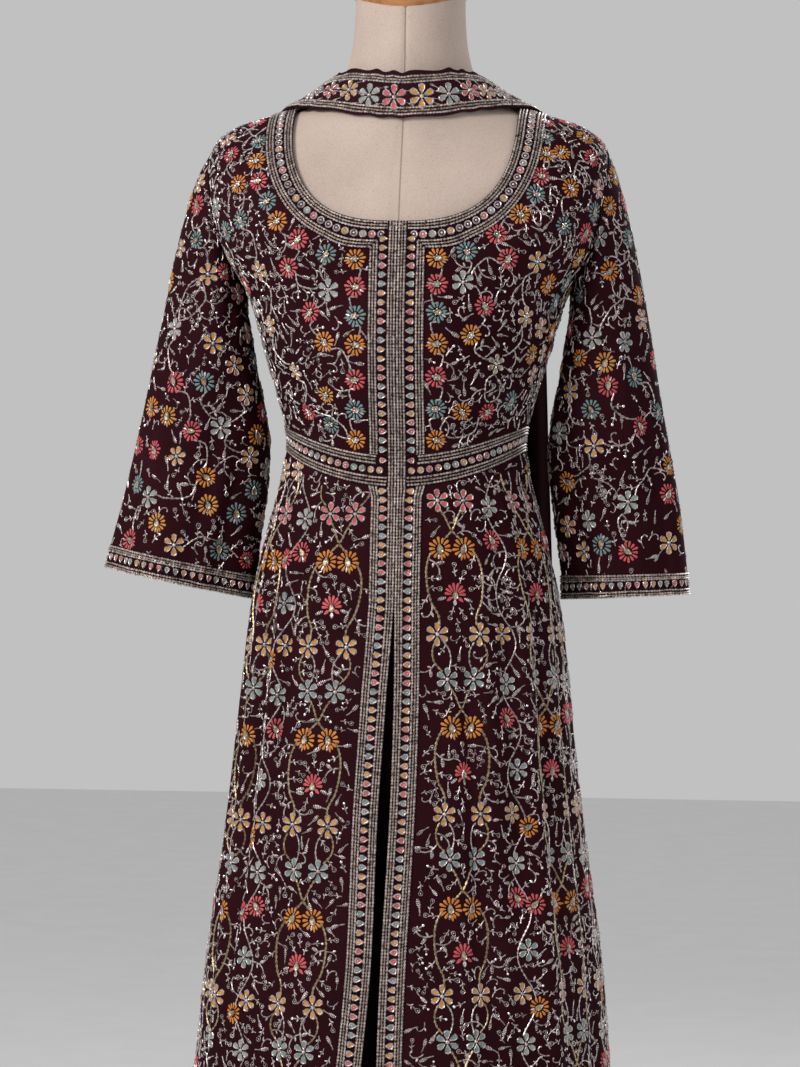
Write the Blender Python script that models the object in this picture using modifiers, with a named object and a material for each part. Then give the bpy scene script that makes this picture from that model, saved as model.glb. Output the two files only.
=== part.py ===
"""Palazzo suit on a dress form.

A long tunic (kameez) with a deep round neck, flared three-quarter sleeves and a front slit, wide trousers (palazzo)
and a scarf (dupatta) folded across the throat, on a limbless linen form with a wooden neck cap, a pole and a round
base. Metres, +Z up. The front faces -Y. The origin is on the floor, on the axis of the pole.

The form and the tunic are stacks of rings. A ring is an oval whose front, sides and back may lie at different
heights, so that the same kind of ring serves the neck, the slope of the shoulders and the skirt.
"""

import math
from collections import namedtuple

import bmesh
import bpy
import numpy as np

# Cloth
WALL = 0.0015
TRIM_WALL = 0.0010
SEAM = 0.0003
SEAM_SIDE = 0.0002
SLEEVE_SEAM = 0.0008
BORDER_WIDTH = 0.026
BACK_CORNER_DROP = 0.028

# Neckline of the tunic
NECK_HALF_WIDTH = 0.105
NECK_TOP_Z = 1.3975
FRONT_NECK_DEPTH = 0.1165
BACK_NECK_DEPTH = 0.058
NECK_SQUARENESS = 2.8

# Armhole, as ring levels and angles
SHOULDER_TIP_LEVEL = 8.0
UNDERARM_LEVEL = 12.0
FRONT_ARMHOLE_CUT = math.radians(17)
BACK_ARMHOLE_CUT = math.radians(14)

# Waistband of the tunic
WAIST_TOP_Z = 1.098
WAIST_BOTTOM_Z = 1.0735
WAIST_TOP_DIP = 0.031
WAIST_BOTTOM_DIP = 0.036

# Skirt of the tunic
SKIRT_HEM_Z = 0.130
SLIT_TOP_Z = 0.930
SLIT_BORDER_WIDTH = 0.024

# Trousers
PALAZZO_WAIST_Z = 1.050
PALAZZO_BAND = 0.030
PALAZZO_HEM_Z = 0.036
CROTCH_TOP_Z = 0.757
CROTCH_Z = 0.690
INSEAM_X = 0.026
LEG_GAP = 0.010
PALAZZO_EASE = 0.0030
PALAZZO_BAND_EASE = 0.0012

# Neck cap: share of the neck's width, height above the neck
CAP_PROFILE = [(0.34, 0.0230), (0.70, 0.0205), (0.94, 0.0150), (1.04, 0.0065), (1.03, SEAM)]

# Stand
POLE_RADIUS = 0.0125
BASE_RADIUS = 0.170
BASE_THICKNESS = 0.022
FLANGE_RADIUS = 0.022
FLANGE_TOP = 0.030

# Counts of facets
NECK_ROWS = 10
NECK_ROW_SPREAD = 1.6  # rows lie closer together where the neckline crosses the shoulder
ARMHOLE_ROW_SPREAD = 1.3
FRONT_ROWS = 6
QUARTER_COLUMNS = 12
FORM_COLUMNS = 32
LEG_COLUMNS = 9

Ring = namedtuple("Ring", "front_z side_z back_z width front back squareness")

NECK_AND_CHEST = [
    Ring(1.494, 1.512, 1.530, 0.0520, 0.0580, 0.0460, 2.0),
    Ring(1.462, 1.482, 1.500, 0.0525, 0.0590, 0.0480, 2.0),
    Ring(1.428, 1.452, 1.470, 0.0555, 0.0610, 0.0520, 2.0),
    Ring(1.400, 1.425, 1.443, 0.0640, 0.0660, 0.0580, 2.0),
    Ring(1.380, 1.405, 1.420, 0.0820, 0.0730, 0.0660, 2.0),
    Ring(1.358, 1.394, 1.396, 0.1080, 0.0820, 0.0760, 2.05),
    Ring(1.335, 1.3855, 1.368, 0.1380, 0.0920, 0.0860, 2.1),
    Ring(1.312, 1.376, 1.340, 0.1650, 0.1010, 0.0940, 2.15),
    Ring(1.290, 1.360, 1.312, 0.1830, 0.1080, 0.0990, 2.2),
    Ring(1.270, 1.335, 1.288, 0.1875, 0.1135, 0.1020, 2.25),
    Ring(1.252, 1.300, 1.266, 0.1840, 0.1180, 0.1040, 2.3),
    Ring(1.236, 1.263, 1.244, 0.1710, 0.1215, 0.1050, 2.3),
    Ring(1.218, 1.226, 1.220, 0.1490, 0.1245, 0.1045, 2.3),
    Ring(1.193, 1.193, 1.193, 0.1375, 0.1270, 0.1020, 2.3),
    Ring(1.165, 1.165, 1.165, 0.1300, 0.1270, 0.0985, 2.3),
    Ring(1.125, 1.125, 1.125, 0.1180, 0.1175, 0.0930, 2.25),
    Ring(1.085, 1.085, 1.085, 0.1095, 0.1030, 0.0875, 2.2),
]

FORM_HIPS = [
    Ring(1.050, 1.050, 1.050, 0.1042, 0.0935, 0.0838, 2.15),
    Ring(1.020, 1.020, 1.020, 0.1030, 0.0900, 0.0820, 2.15),
    Ring(0.990, 0.990, 0.990, 0.1070, 0.0915, 0.0865, 2.15),
    Ring(0.950, 0.950, 0.950, 0.1180, 0.0970, 0.0980, 2.2),
    Ring(0.880, 0.880, 0.880, 0.1340, 0.1020, 0.1160, 2.2),
    Ring(0.820, 0.820, 0.820, 0.1370, 0.1000, 0.1190, 2.2),
    Ring(0.775, 0.775, 0.775, 0.1310, 0.0930, 0.1090, 2.2),
    Ring(0.745, 0.745, 0.745, 0.1130, 0.0790, 0.0920, 2.2),
]

SKIRT = [
    Ring(1.050, 1.050, 1.050, 0.1165, 0.1035, 0.0930, 2.2),
    Ring(1.020, 1.020, 1.020, 0.1245, 0.1080, 0.0985, 2.2),
    Ring(0.985, 0.985, 0.985, 0.1340, 0.1125, 0.1070, 2.2),
    Ring(0.927, 0.927, 0.927, 0.1455, 0.1200, 0.1200, 2.2),
    Ring(0.850, 0.850, 0.850, 0.1535, 0.1275, 0.1340, 2.2),
    Ring(0.780, 0.780, 0.780, 0.1605, 0.1340, 0.1430, 2.2),
    Ring(0.692, 0.692, 0.692, 0.1720, 0.1420, 0.1520, 2.15),
    Ring(0.600, 0.600, 0.600, 0.1850, 0.1500, 0.1600, 2.15),
    Ring(0.488, 0.488, 0.488, 0.1957, 0.1590, 0.1670, 2.1),
    Ring(0.360, 0.360, 0.360, 0.2085, 0.1680, 0.1740, 2.1),
    Ring(0.250, 0.250, 0.250, 0.2225, 0.1760, 0.1810, 2.1),
    Ring(0.130, 0.130, 0.130, 0.2385, 0.1840, 0.1890, 2.1),
]

# Space between the form and the outside of the tunic, ring by ring of NECK_AND_CHEST
TUNIC_EASE = [0.0036] * 9 + [0.0038, 0.0040, 0.0045, 0.0045, 0.0045, 0.0045, 0.0042, 0.0040]

# Folds of the skirt: middle angle from the front, half width in degrees, depth at the hem (out is positive),
# height where the fold starts
Fold = namedtuple("Fold", "angle spread depth top_z")
SKIRT_FOLDS = [
    Fold(-166, 13, -0.012, 0.90),
    Fold(-143, 12, 0.009, 0.80),
    Fold(-121, 12, -0.013, 0.95),
    Fold(-97, 13, 0.007, 0.85),
    Fold(-73, 11, -0.014, 1.02),
    Fold(-55, 10, 0.006, 0.70),
    Fold(-37, 11, -0.008, 0.78),
    Fold(33, 10, -0.015, 0.95),
    Fold(50, 10, 0.007, 0.75),
    Fold(68, 11, -0.012, 1.02),
    Fold(93, 12, 0.006, 0.80),
    Fold(116, 12, -0.014, 0.98),
    Fold(140, 12, 0.008, 0.75),
    Fold(163, 13, -0.010, 0.92),
]

# Edges of the front slit: height, sideways drift of its middle, width of the gap
SlitPoint = namedtuple("SlitPoint", "z drift gap")
SLIT = [
    SlitPoint(0.930, 0.000, 0.0004),
    SlitPoint(0.850, -0.002, 0.0060),
    SlitPoint(0.740, -0.006, 0.0100),
    SlitPoint(0.600, -0.011, 0.0080),
    SlitPoint(0.488, -0.017, 0.0150),
    SlitPoint(0.300, -0.022, 0.0240),
    SlitPoint(0.130, -0.026, 0.0340),
]

# Sleeves: outer and inner lines, half depth and middle from front to back, from the shoulder to the cuff
SleeveRing = namedtuple("SleeveRing", "outer_x outer_z inner_x inner_z half_depth middle_y")
LEFT_SLEEVE = [
    SleeveRing(0.1900, 1.362, 0.1560, 1.226, 0.042, 0.000),
    SleeveRing(0.2030, 1.338, 0.1555, 1.206, 0.044, 0.004),
    SleeveRing(0.2137, 1.306, 0.1500, 1.180, 0.046, 0.008),
    SleeveRing(0.2250, 1.262, 0.1455, 1.150, 0.047, 0.012),
    SleeveRing(0.2340, 1.217, 0.1390, 1.118, 0.047, 0.016),
    SleeveRing(0.2445, 1.170, 0.1340, 1.085, 0.047, 0.021),
    SleeveRing(0.2550, 1.122, 0.1345, 1.053, 0.047, 0.026),
    SleeveRing(0.2655, 1.075, 0.1380, 1.022, 0.046, 0.029),
    SleeveRing(0.2770, 1.027, 0.1425, 0.990, 0.045, 0.031),
    SleeveRing(0.2880, 0.986, 0.1465, 0.957, 0.044, 0.032),
    SleeveRing(0.2910, 0.973, 0.1475, 0.944, 0.044, 0.032),
    SleeveRing(0.2940, 0.960, 0.1485, 0.931, 0.044, 0.032),
]
RIGHT_SLEEVE = [
    SleeveRing(0.1900, 1.362, 0.1560, 1.226, 0.042, 0.000),
    SleeveRing(0.1985, 1.338, 0.1555, 1.206, 0.045, 0.004),
    SleeveRing(0.2070, 1.306, 0.1500, 1.180, 0.047, 0.008),
    SleeveRing(0.2165, 1.262, 0.1455, 1.150, 0.049, 0.012),
    SleeveRing(0.2250, 1.217, 0.1390, 1.118, 0.049, 0.016),
    SleeveRing(0.2330, 1.170, 0.1340, 1.085, 0.049, 0.021),
    SleeveRing(0.2410, 1.122, 0.1345, 1.053, 0.049, 0.026),
    SleeveRing(0.2500, 1.074, 0.1380, 1.022, 0.048, 0.029),
    SleeveRing(0.2590, 1.025, 0.1425, 0.990, 0.047, 0.031),
    SleeveRing(0.2665, 0.966, 0.1465, 0.960, 0.046, 0.032),
    SleeveRing(0.2675, 0.953, 0.1470, 0.947, 0.046, 0.032),
    SleeveRing(0.2685, 0.940, 0.1475, 0.934, 0.046, 0.032),
]

# Folds of the sleeves: place round the sleeve in degrees (0 is the outer line, 90 the front), half width in
# degrees, depth at the cuff (out is positive)
SleeveFold = namedtuple("SleeveFold", "turn spread depth")
SLEEVE_FOLDS = {
    "left": [
        SleeveFold(38, 24, -0.006),
        SleeveFold(80, 26, 0.004),
        SleeveFold(128, 24, -0.007),
        SleeveFold(222, 26, -0.006),
        SleeveFold(300, 28, 0.005),
    ],
    "right": [
        SleeveFold(50, 26, -0.005),
        SleeveFold(98, 24, 0.005),
        SleeveFold(140, 24, -0.006),
        SleeveFold(238, 26, -0.007),
        SleeveFold(310, 26, 0.004),
    ],
}

# Trouser legs below the crotch: outer seam from the middle, front and back depth
LegRing = namedtuple("LegRing", "z outer front back inner")
LEG = [
    LegRing(CROTCH_Z, 0.1460, 0.103, 0.116, 0.000),
    LegRing(0.600, 0.1530, 0.104, 0.119, 0.001),
    LegRing(0.480, 0.1640, 0.108, 0.122, 0.002),
    LegRing(0.360, 0.1750, 0.113, 0.126, 0.004),
    LegRing(0.250, 0.1860, 0.118, 0.130, 0.006),
    LegRing(0.140, 0.1970, 0.123, 0.134, 0.009),
    LegRing(PALAZZO_HEM_Z, 0.2080, 0.128, 0.138, 0.012),
]
LEG_WAVES = 6
LEG_WAVE_DEPTH = 0.008

# Scarf across the throat: for its upper and its lower edge the angle from the front, the ring level of the form
# and the height above it
ScarfPoint = namedtuple("ScarfPoint", "top_angle top_level top_lift low_angle low_level low_lift")
SCARF_NECK = [
    ScarfPoint(0, 2.20, 0.0105, 0, 4.05, 0.0045),
    ScarfPoint(18, 2.22, 0.0105, 18, 4.10, 0.0046),
    ScarfPoint(36, 2.35, 0.0108, 36, 4.25, 0.0050),
    ScarfPoint(52, 2.62, 0.0110, 52, 4.50, 0.0058),
    ScarfPoint(66, 2.95, 0.0110, 66, 4.85, 0.0070),
    ScarfPoint(79, 3.35, 0.0105, 79, 5.15, 0.0077),
    ScarfPoint(91, 3.75, 0.0100, 91, 5.40, 0.0078),
    ScarfPoint(104, 4.15, 0.0100, 102, 5.62, 0.0080),
    ScarfPoint(118, 4.50, 0.0098, 112, 5.95, 0.0084),
    ScarfPoint(130, 4.95, 0.0098, 122, 6.45, 0.0090),
    ScarfPoint(139, 5.55, 0.0102, 130, 7.10, 0.0092),
    ScarfPoint(147, 6.30, 0.0104, 137, 7.90, 0.0092),
]
SCARF_WALL = 0.0025
SCARF_COLUMNS = 4

# Tails of the scarf: height, middle sideways, distance behind the axis, width, depth of the pleats
TailRow = namedtuple("TailRow", "z x y width pleat")
TAIL = [
    TailRow(1.300, 0.096, 0.1100, 0.050, 0.0015),
    TailRow(1.255, 0.096, 0.1175, 0.054, 0.0028),
    TailRow(1.180, 0.095, 0.1220, 0.062, 0.0040),
    TailRow(1.090, 0.094, 0.1260, 0.070, 0.0045),
    TailRow(0.980, 0.093, 0.1350, 0.080, 0.0050),
    TailRow(0.860, 0.092, 0.1540, 0.090, 0.0060),
    TailRow(0.740, 0.092, 0.1680, 0.100, 0.0070),
    TailRow(0.610, 0.092, 0.1790, 0.112, 0.0080),
    TailRow(0.480, 0.092, 0.1890, 0.124, 0.0090),
]
TAIL_PLEATS = 3
TAIL_COLUMNS = 12


def smooth(values, level):
    """Catmull-Rom curve through equally spaced values (one row each), read at the given levels."""
    values = np.asarray(values, float)
    level = np.clip(np.asarray(level, float), 0, len(values) - 1)
    start = np.minimum(level.astype(int), len(values) - 2)
    share = (level - start)[..., None]
    before = values[np.maximum(start - 1, 0)]
    here = values[start]
    there = values[start + 1]
    after = values[np.minimum(start + 2, len(values) - 1)]
    slope_here = (there - before) / 2
    slope_there = (after - here) / 2
    return (
        here * (2 * share**3 - 3 * share**2 + 1)
        + slope_here * (share**3 - 2 * share**2 + share)
        + there * (-2 * share**3 + 3 * share**2)
        + slope_there * (share**3 - share**2)
    )


def by_height(rows, z):
    """The row of a table at height z, its heights falling from row to row, read on a smooth curve."""
    heights = -np.array([row[0] for row in rows])
    level = np.interp(-np.asarray(z, float), heights, np.arange(len(rows)))
    return smooth(rows, level)


def ring_points(rings, angle, level):
    """Points on a stack of rings; angle 0 is the front, a quarter turn is the +X side."""
    angle, level = np.broadcast_arrays(np.asarray(angle, float), np.asarray(level, float))
    front_z, side_z, back_z, width, front, back, power = np.moveaxis(smooth(rings, level), -1, 0)
    sine = np.sin(angle)
    cosine = np.cos(angle)
    reach = (np.abs(sine) ** power + np.abs(cosine) ** power) ** (-1 / power)
    ahead = cosine > 0
    depth = np.where(ahead, front, back)
    end_z = np.where(ahead, front_z, back_z)
    return np.stack(
        [width * reach * sine, -depth * reach * cosine, side_z + (end_z - side_z) * cosine**2], axis=-1
    )


def unit(vectors):
    return vectors / np.maximum(np.linalg.norm(vectors, axis=-1, keepdims=True), 1e-12)


def outward(surface, first, second, step=1e-3):
    """Unit normals of surface(first, second), from differences in each direction."""
    along = surface(first + step, second) - surface(first - step, second)
    down = surface(first, second + step) - surface(first, second - step)
    return unit(np.cross(down, along))


def form_surface(angle, level):
    return ring_points(NECK_AND_CHEST + FORM_HIPS, angle, level)


def grown_ring(index, ease):
    """The form's ring at this index, moved out by ease at its front, side and back."""
    ring = NECK_AND_CHEST[index]
    angles = np.radians([0.0, 90.0, 180.0])
    front, side, back = outward(form_surface, angles, np.full(3, float(index)))
    return Ring(
        ring.front_z + ease * front[2],
        ring.side_z + ease * side[2],
        ring.back_z + ease * back[2],
        ring.width + ease * side[0],
        ring.front - ease * front[1],
        ring.back + ease * back[1],
        ring.squareness,
    )


TUNIC_RINGS = [grown_ring(index, ease) for index, ease in enumerate(TUNIC_EASE)] + SKIRT
FIRST_LEVEL_RING = 13


def level_at(z):
    """The tunic's level at height z, where its rings lie level."""
    heights = [-ring.side_z for ring in TUNIC_RINGS[FIRST_LEVEL_RING:]]
    guess = np.interp(-np.asarray(z, float), heights, np.arange(len(heights)) + float(FIRST_LEVEL_RING))
    for _ in range(6):
        error = smooth(TUNIC_RINGS, guess)[..., 1] - z
        slope = (smooth(TUNIC_RINGS, guess + 0.01)[..., 1] - smooth(TUNIC_RINGS, guess - 0.01)[..., 1]) / 0.02
        guess = guess - error / slope
    return guess


def fold_depth(angle, z):
    """How far the skirt's folds stand out at this angle and height."""
    degrees = np.degrees(angle)
    total = np.zeros(np.broadcast(angle, z).shape)
    for fold in SKIRT_FOLDS:
        away = (degrees - fold.angle + 180) % 360 - 180
        fall = np.clip((fold.top_z - z) / (fold.top_z - SKIRT_HEM_Z), 0, 1)
        total = total + fold.depth * fall**1.3 * np.exp(-((away / fold.spread) ** 2) * 1.6)
    return total


def tunic_surface(angle, level):
    """The outside of the tunic, folds included."""
    points = ring_points(TUNIC_RINGS, angle, level)
    lift = fold_depth(angle, points[..., 2])
    across = unit(np.stack([np.sin(angle) / 1.2, -np.cos(angle), np.zeros_like(lift)], axis=-1))
    return points + across * lift[..., None]


def on_tunic(x, z, side):
    """Angle and level of the tunic's point seen from the front (side 1) or the back (side -1) at x and z, x >= 0."""
    x = np.asarray(x, float)
    z = np.asarray(z, float)
    angle = np.arcsin(np.clip(x / 0.19, 0, 0.98))
    level = np.interp(-z, [-1.40, -1.29, -1.085], [4.5, 8.0, 16.0])
    step = 1e-4

    def seen(a, b):
        turned = a if side > 0 else math.pi - a
        return ring_points(TUNIC_RINGS, turned, b)[..., [0, 2]]

    for _ in range(40):
        here = seen(angle, level)
        by_angle = (seen(angle + step, level) - here) / step
        by_level = (seen(angle, level + step) - here) / step
        miss_x = here[..., 0] - x
        miss_z = here[..., 1] - z
        size = by_angle[..., 0] * by_level[..., 1] - by_angle[..., 1] * by_level[..., 0]
        size = np.where(np.abs(size) < 1e-7, 1e-7, size)
        turn = (miss_x * by_level[..., 1] - miss_z * by_level[..., 0]) / size
        drop = (miss_z * by_angle[..., 0] - miss_x * by_angle[..., 1]) / size
        angle = np.clip(angle - np.clip(turn, -0.15, 0.15), 0, math.pi / 2)
        level = np.clip(level - np.clip(drop, -0.6, 0.6), 3.5, 17)
    return angle, level


def neckline(depth, rows):
    """Points x, z of half the neckline, from the shoulder (row 0) to the middle (last row), and its outer side."""
    turn = np.linspace(0, math.pi / 2, 400)
    x = NECK_HALF_WIDTH * np.cos(turn) ** (2 / NECK_SQUARENESS)
    z = NECK_TOP_Z - depth * np.sin(turn) ** (2 / NECK_SQUARENESS)
    length = np.concatenate([[0], np.cumsum(np.hypot(np.diff(x), np.diff(z)))])
    share = np.linspace(0, 1, rows + 1) ** NECK_ROW_SPREAD
    x_even = np.interp(share * length[-1], length, x)
    z_even = np.interp(share * length[-1], length, z)
    near = np.interp(share * length[-1] + 1e-4, length, x) - np.interp(share * length[-1] - 1e-4, length, x)
    fall = np.interp(share * length[-1] + 1e-4, length, z) - np.interp(share * length[-1] - 1e-4, length, z)
    size = np.hypot(near, fall)
    return x_even, z_even, -fall / size, near / size


def beside_neckline(depth, rows, width):
    """The neckline moved out by width, turning into a corner at the middle."""
    x, z, out_x, out_z = neckline(depth, rows)
    moved_x = x + width * out_x
    moved_z = z + width * out_z
    reach = 2.2 * BORDER_WIDTH
    blend = np.clip(x / reach, 0, 1)
    corner_x = width + blend * (np.interp(reach, x[::-1], moved_x[::-1]) - width)
    return np.where(x < reach, corner_x, moved_x), moved_z


def waist_height(angle, side_z, dip):
    return side_z - dip * np.where(np.cos(angle) > 0, np.cos(angle), 0) ** 2


def bodice_quarter(side):
    """Angles and levels of a quarter of the bodice at +X: rows from the shoulder to the waist, columns outward."""
    depth = FRONT_NECK_DEPTH if side > 0 else BACK_NECK_DEPTH
    cut = FRONT_ARMHOLE_CUT if side > 0 else BACK_ARMHOLE_CUT
    rows = NECK_ROWS + FRONT_ROWS
    angle = np.zeros((rows + 1, QUARTER_COLUMNS + 1))
    level = np.zeros_like(angle)
    corner_z = NECK_TOP_Z - depth
    ridge = smooth(TUNIC_RINGS, np.linspace(4, 9, 200))
    for column, width in enumerate([0.0, BORDER_WIDTH / 2, BORDER_WIDTH]):
        x, z = beside_neckline(depth, NECK_ROWS, width)
        slope = np.maximum(NECK_TOP_Z - np.interp(x, ridge[:, 3], ridge[:, 1]), 0.0)
        z = z - slope * np.clip(1 - (NECK_TOP_Z - z) / depth, 0, 1)
        found_angle, found_level = on_tunic(x[1:], z[1:], side)
        angle[1 : NECK_ROWS + 1, column] = found_angle
        level[1 : NECK_ROWS + 1, column] = found_level
        angle[0, column] = math.pi / 2
        level[0, column] = np.interp(NECK_HALF_WIDTH + width, ridge[:, 3], np.linspace(4, 9, 200))
        waist_z = waist_height(0.0, WAIST_TOP_Z, WAIST_TOP_DIP if side > 0 else 0.0)
        down = np.linspace(z[-1], waist_z, FRONT_ROWS + 1)[1:]
        if side < 0:
            first_down = corner_z - BACK_CORNER_DROP
            down = np.linspace(first_down, waist_z, FRONT_ROWS)
        below_angle, below_level = on_tunic(np.full(FRONT_ROWS, width), down, side)
        angle[NECK_ROWS + 1 :, column] = below_angle
        level[NECK_ROWS + 1 :, column] = below_level
    waist_side = level_at(WAIST_TOP_Z)
    around = np.linspace(0, 1, NECK_ROWS + 1) ** ARMHOLE_ROW_SPREAD
    angle[:, -1] = math.pi / 2
    angle[: NECK_ROWS + 1, -1] -= cut * np.sin(math.pi * around) ** 0.8
    level[: NECK_ROWS + 1, -1] = SHOULDER_TIP_LEVEL + around * (UNDERARM_LEVEL - SHOULDER_TIP_LEVEL)
    level[NECK_ROWS:, -1] = np.linspace(UNDERARM_LEVEL, waist_side, FRONT_ROWS + 1)
    share = (np.arange(2, QUARTER_COLUMNS + 1) - 2) / (QUARTER_COLUMNS - 2)
    for grid in (angle, level):
        grid[:, 2:] = grid[:, 2:3] + share * (grid[:, -1:] - grid[:, 2:3])
    dip = WAIST_TOP_DIP if side > 0 else 0.0
    level[-1] = level_at(waist_height(angle[-1], WAIST_TOP_Z, dip))
    return (angle, level) if side > 0 else (math.pi - angle, level)


def quarter(grid, hand):
    """The same quarter on the +X side (hand 1) or the -X side (hand -1)."""
    angle, level = grid
    return hand * angle, level


def material(name, colour, roughness, metallic=0.0):
    made = bpy.data.materials.new(name)
    made.use_nodes = True
    shader = made.node_tree.nodes["Principled BSDF"]
    shader.inputs["Base Color"].default_value = (*colour, 1.0)
    shader.inputs["Roughness"].default_value = roughness
    shader.inputs["Metallic"].default_value = metallic
    return made


def closed_solid(name, points, faces, finish):
    """An object from points and faces that already close."""
    mesh = bpy.data.meshes.new(name)
    built = bmesh.new()
    corners = [built.verts.new(tuple(point)) for point in points]
    for face in faces:
        built.faces.new([corners[index] for index in face])
    bmesh.ops.recalc_face_normals(built, faces=built.faces)
    built.to_mesh(mesh)
    built.free()
    mesh.shade_smooth()
    mesh.set_sharp_from_angle(angle=math.radians(50))
    mesh.materials.append(finish)
    placed = bpy.data.objects.new(name, mesh)
    suit.objects.link(placed)
    return placed


def cloth(name, points, normals, faces, finish, wall=WALL, lift=0.0):
    """A wall of cloth: its outer points raised by lift, its inner points a wall's thickness below them."""
    count = len(points)
    outer = points + normals * lift
    inner = outer - normals * wall
    edges = {}
    for face in faces:
        for start, end in zip(face, face[1:] + face[:1]):
            edges[(start, end)] = edges.get((start, end), 0) + 1
    rim = [(end, start, start + count, end + count) for start, end in edges if (end, start) not in edges]
    inside = [tuple(index + count for index in reversed(face)) for face in faces]
    return closed_solid(name, np.concatenate([outer, inner]), list(faces) + inside + rim, finish)


def grid_faces(rows, columns, wrap=False):
    """Triangles of a grid of points stored row by row, all cut along the same diagonal."""
    faces = []
    for row in range(rows - 1):
        for column in range(columns if wrap else columns - 1):
            here = row * columns + column
            beside = row * columns + (column + 1) % columns
            faces.append((here, beside, beside + columns))
            faces.append((here, beside + columns, here + columns))
    return faces


def drawn_in(points, sides):
    """A grid of points whose named edges are drawn back by half a seam, along the grid's own lines."""
    drawn = points.copy()
    for side in sides:
        if side == "top":
            drawn[0] += unit(points[1] - points[0]) * SEAM_SIDE
        if side == "bottom":
            drawn[-1] += unit(points[-2] - points[-1]) * SEAM_SIDE
        if side == "first":
            drawn[:, 0] += unit(points[:, 1] - points[:, 0]) * SEAM_SIDE
        if side == "last":
            drawn[:, -1] += unit(points[:, -2] - points[:, -1]) * SEAM_SIDE
    return drawn


def panel(name, grid, sides, finish, surface=tunic_surface, wall=WALL, lift=0.0):
    """A panel of cloth over a grid of angles and levels."""
    angle, level = grid
    points = drawn_in(surface(angle, level), sides)
    normals = outward(surface, angle, level)
    rows, columns = angle.shape
    faces = grid_faces(rows, columns)
    return cloth(name, points.reshape(-1, 3), normals.reshape(-1, 3), faces, finish, wall, lift)


def part_of(grid, rows, columns):
    return tuple(values[rows, columns] for values in grid)


def both_halves(grid):
    """The -X and +X quarters side by side, sharing their middle column."""
    right = quarter(grid, 1)
    left = quarter(grid, -1)
    return [np.concatenate([mirror[:, :0:-1], own], axis=1) for mirror, own in zip(left, right)]


def joined_halves(name, grid, sides, finish, wall=WALL, lift=0.0):
    """Both quarters of a grid as one cloth, joined down the middle below the neckline."""
    points = []
    normals = []
    index = {}
    faces = []
    rows, columns = grid[0].shape
    for hand in (1, -1):
        angle, level = quarter(grid, hand)
        spots = drawn_in(tunic_surface(angle, level), sides)
        facing = outward(tunic_surface, angle, level)
        for row in range(rows):
            for column in range(columns):
                shared = column == 0 and row >= NECK_ROWS
                key = (row, column, 0 if shared else hand)
                if key not in index:
                    index[key] = len(points)
                    middle = np.array([0.0, 1.0, 1.0]) if shared else np.ones(3)
                    points.append(spots[row, column] * middle)
                    normals.append(facing[row, column] * middle)
        for row in range(rows - 1):
            for column in range(columns - 1):
                corners = [(row, column), (row, column + 1), (row + 1, column + 1), (row + 1, column)]
                keys = [index[(r, c, 0 if c == 0 and r >= NECK_ROWS else hand)] for r, c in corners]
                for face in ((keys[0], keys[1], keys[2]), (keys[0], keys[2], keys[3])):
                    faces.append(face[::-hand])
    return cloth(name, np.array(points), unit(np.array(normals)), faces, finish, wall, lift)


def bodice(front, back, colours):
    for hand, side in ((-1, "left"), (1, "right")):
        own = quarter(front, hand)
        panel(f"bodice_front_{side}", own, ["top", "bottom", "first", "last"], colours["cloth"])
        strip = part_of(own, slice(0, NECK_ROWS + 1), slice(0, 3))
        panel(
            f"neck_border_{side}", strip, ["top", "bottom", "first"], colours["zari"],
            wall=TRIM_WALL, lift=SEAM + TRIM_WALL,
        )
        strip = part_of(own, slice(NECK_ROWS, None), slice(0, 3))
        panel(
            f"placket_{side}", strip, ["top", "bottom", "first"], colours["zari"],
            wall=TRIM_WALL, lift=SEAM + TRIM_WALL,
        )
    joined_halves("bodice_back", back, ["top", "bottom", "last"], colours["cloth"])
    joined_halves(
        "neck_border_back", part_of(back, slice(0, NECK_ROWS + 2), slice(0, 3)), ["top"], colours["zari"],
        wall=TRIM_WALL, lift=SEAM + TRIM_WALL,
    )


def waistband(front, back, colours):
    """The band between bodice and skirt, on the columns of both."""
    for name, quarter_grid, dip_share in (("front", front, 1.0), ("back", back, 0.0)):
        angle, _ = both_halves(quarter_grid)
        angle = angle[-1]
        if name == "back":
            angle = np.where(angle < 0, angle + 2 * np.pi, angle)
        top = waist_height(angle, WAIST_TOP_Z, WAIST_TOP_DIP * dip_share)
        bottom = waist_height(angle, WAIST_BOTTOM_Z, WAIST_BOTTOM_DIP * dip_share)
        level = np.stack([level_at(top), level_at((top + bottom) / 2), level_at(bottom)])
        grid = (np.tile(angle, (3, 1)), level)
        panel(f"waistband_{name}", grid, ["top", "bottom", "first", "last"], colours["zari"])


def skirt_quarter(hand, side, waist_angles):
    """Angles and levels of a quarter of the skirt, from the waistband to the hem."""
    dip = WAIST_BOTTOM_DIP if side > 0 else 0.0
    rows = len(SKIRT)
    around = np.abs(waist_angles)
    top_z = waist_height(around, WAIST_BOTTOM_Z, dip)
    share = np.linspace(0, 1, rows + 1)[:, None] ** 0.92
    z = top_z + share * (SKIRT_HEM_Z - top_z)
    angle = np.tile(around, (rows + 1, 1))
    if side > 0:
        slit = by_height(SLIT, z[:, 0])
        drift, gap = slit[:, 1], slit[:, 2]
        open_share = (z[:, 0] < SLIT_TOP_Z).astype(float)
        edge_x = open_share * (drift * hand + gap / 2)
        width = ring_points(TUNIC_RINGS, 0.02, level_at(z[:, 0]))[:, 0] / 0.02
        for column, offset in enumerate([0.0, SLIT_BORDER_WIDTH / 2, SLIT_BORDER_WIDTH]):
            angle[:, column] = (edge_x + offset) / width
        angle[0] = around
        blend = (np.arange(2, QUARTER_COLUMNS + 1) - 2) / (QUARTER_COLUMNS - 2)
        angle[1:, 2:] = angle[1:, 2:3] + blend * (math.pi / 2 - angle[1:, 2:3])
    return hand * angle, level_at(z)


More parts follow.
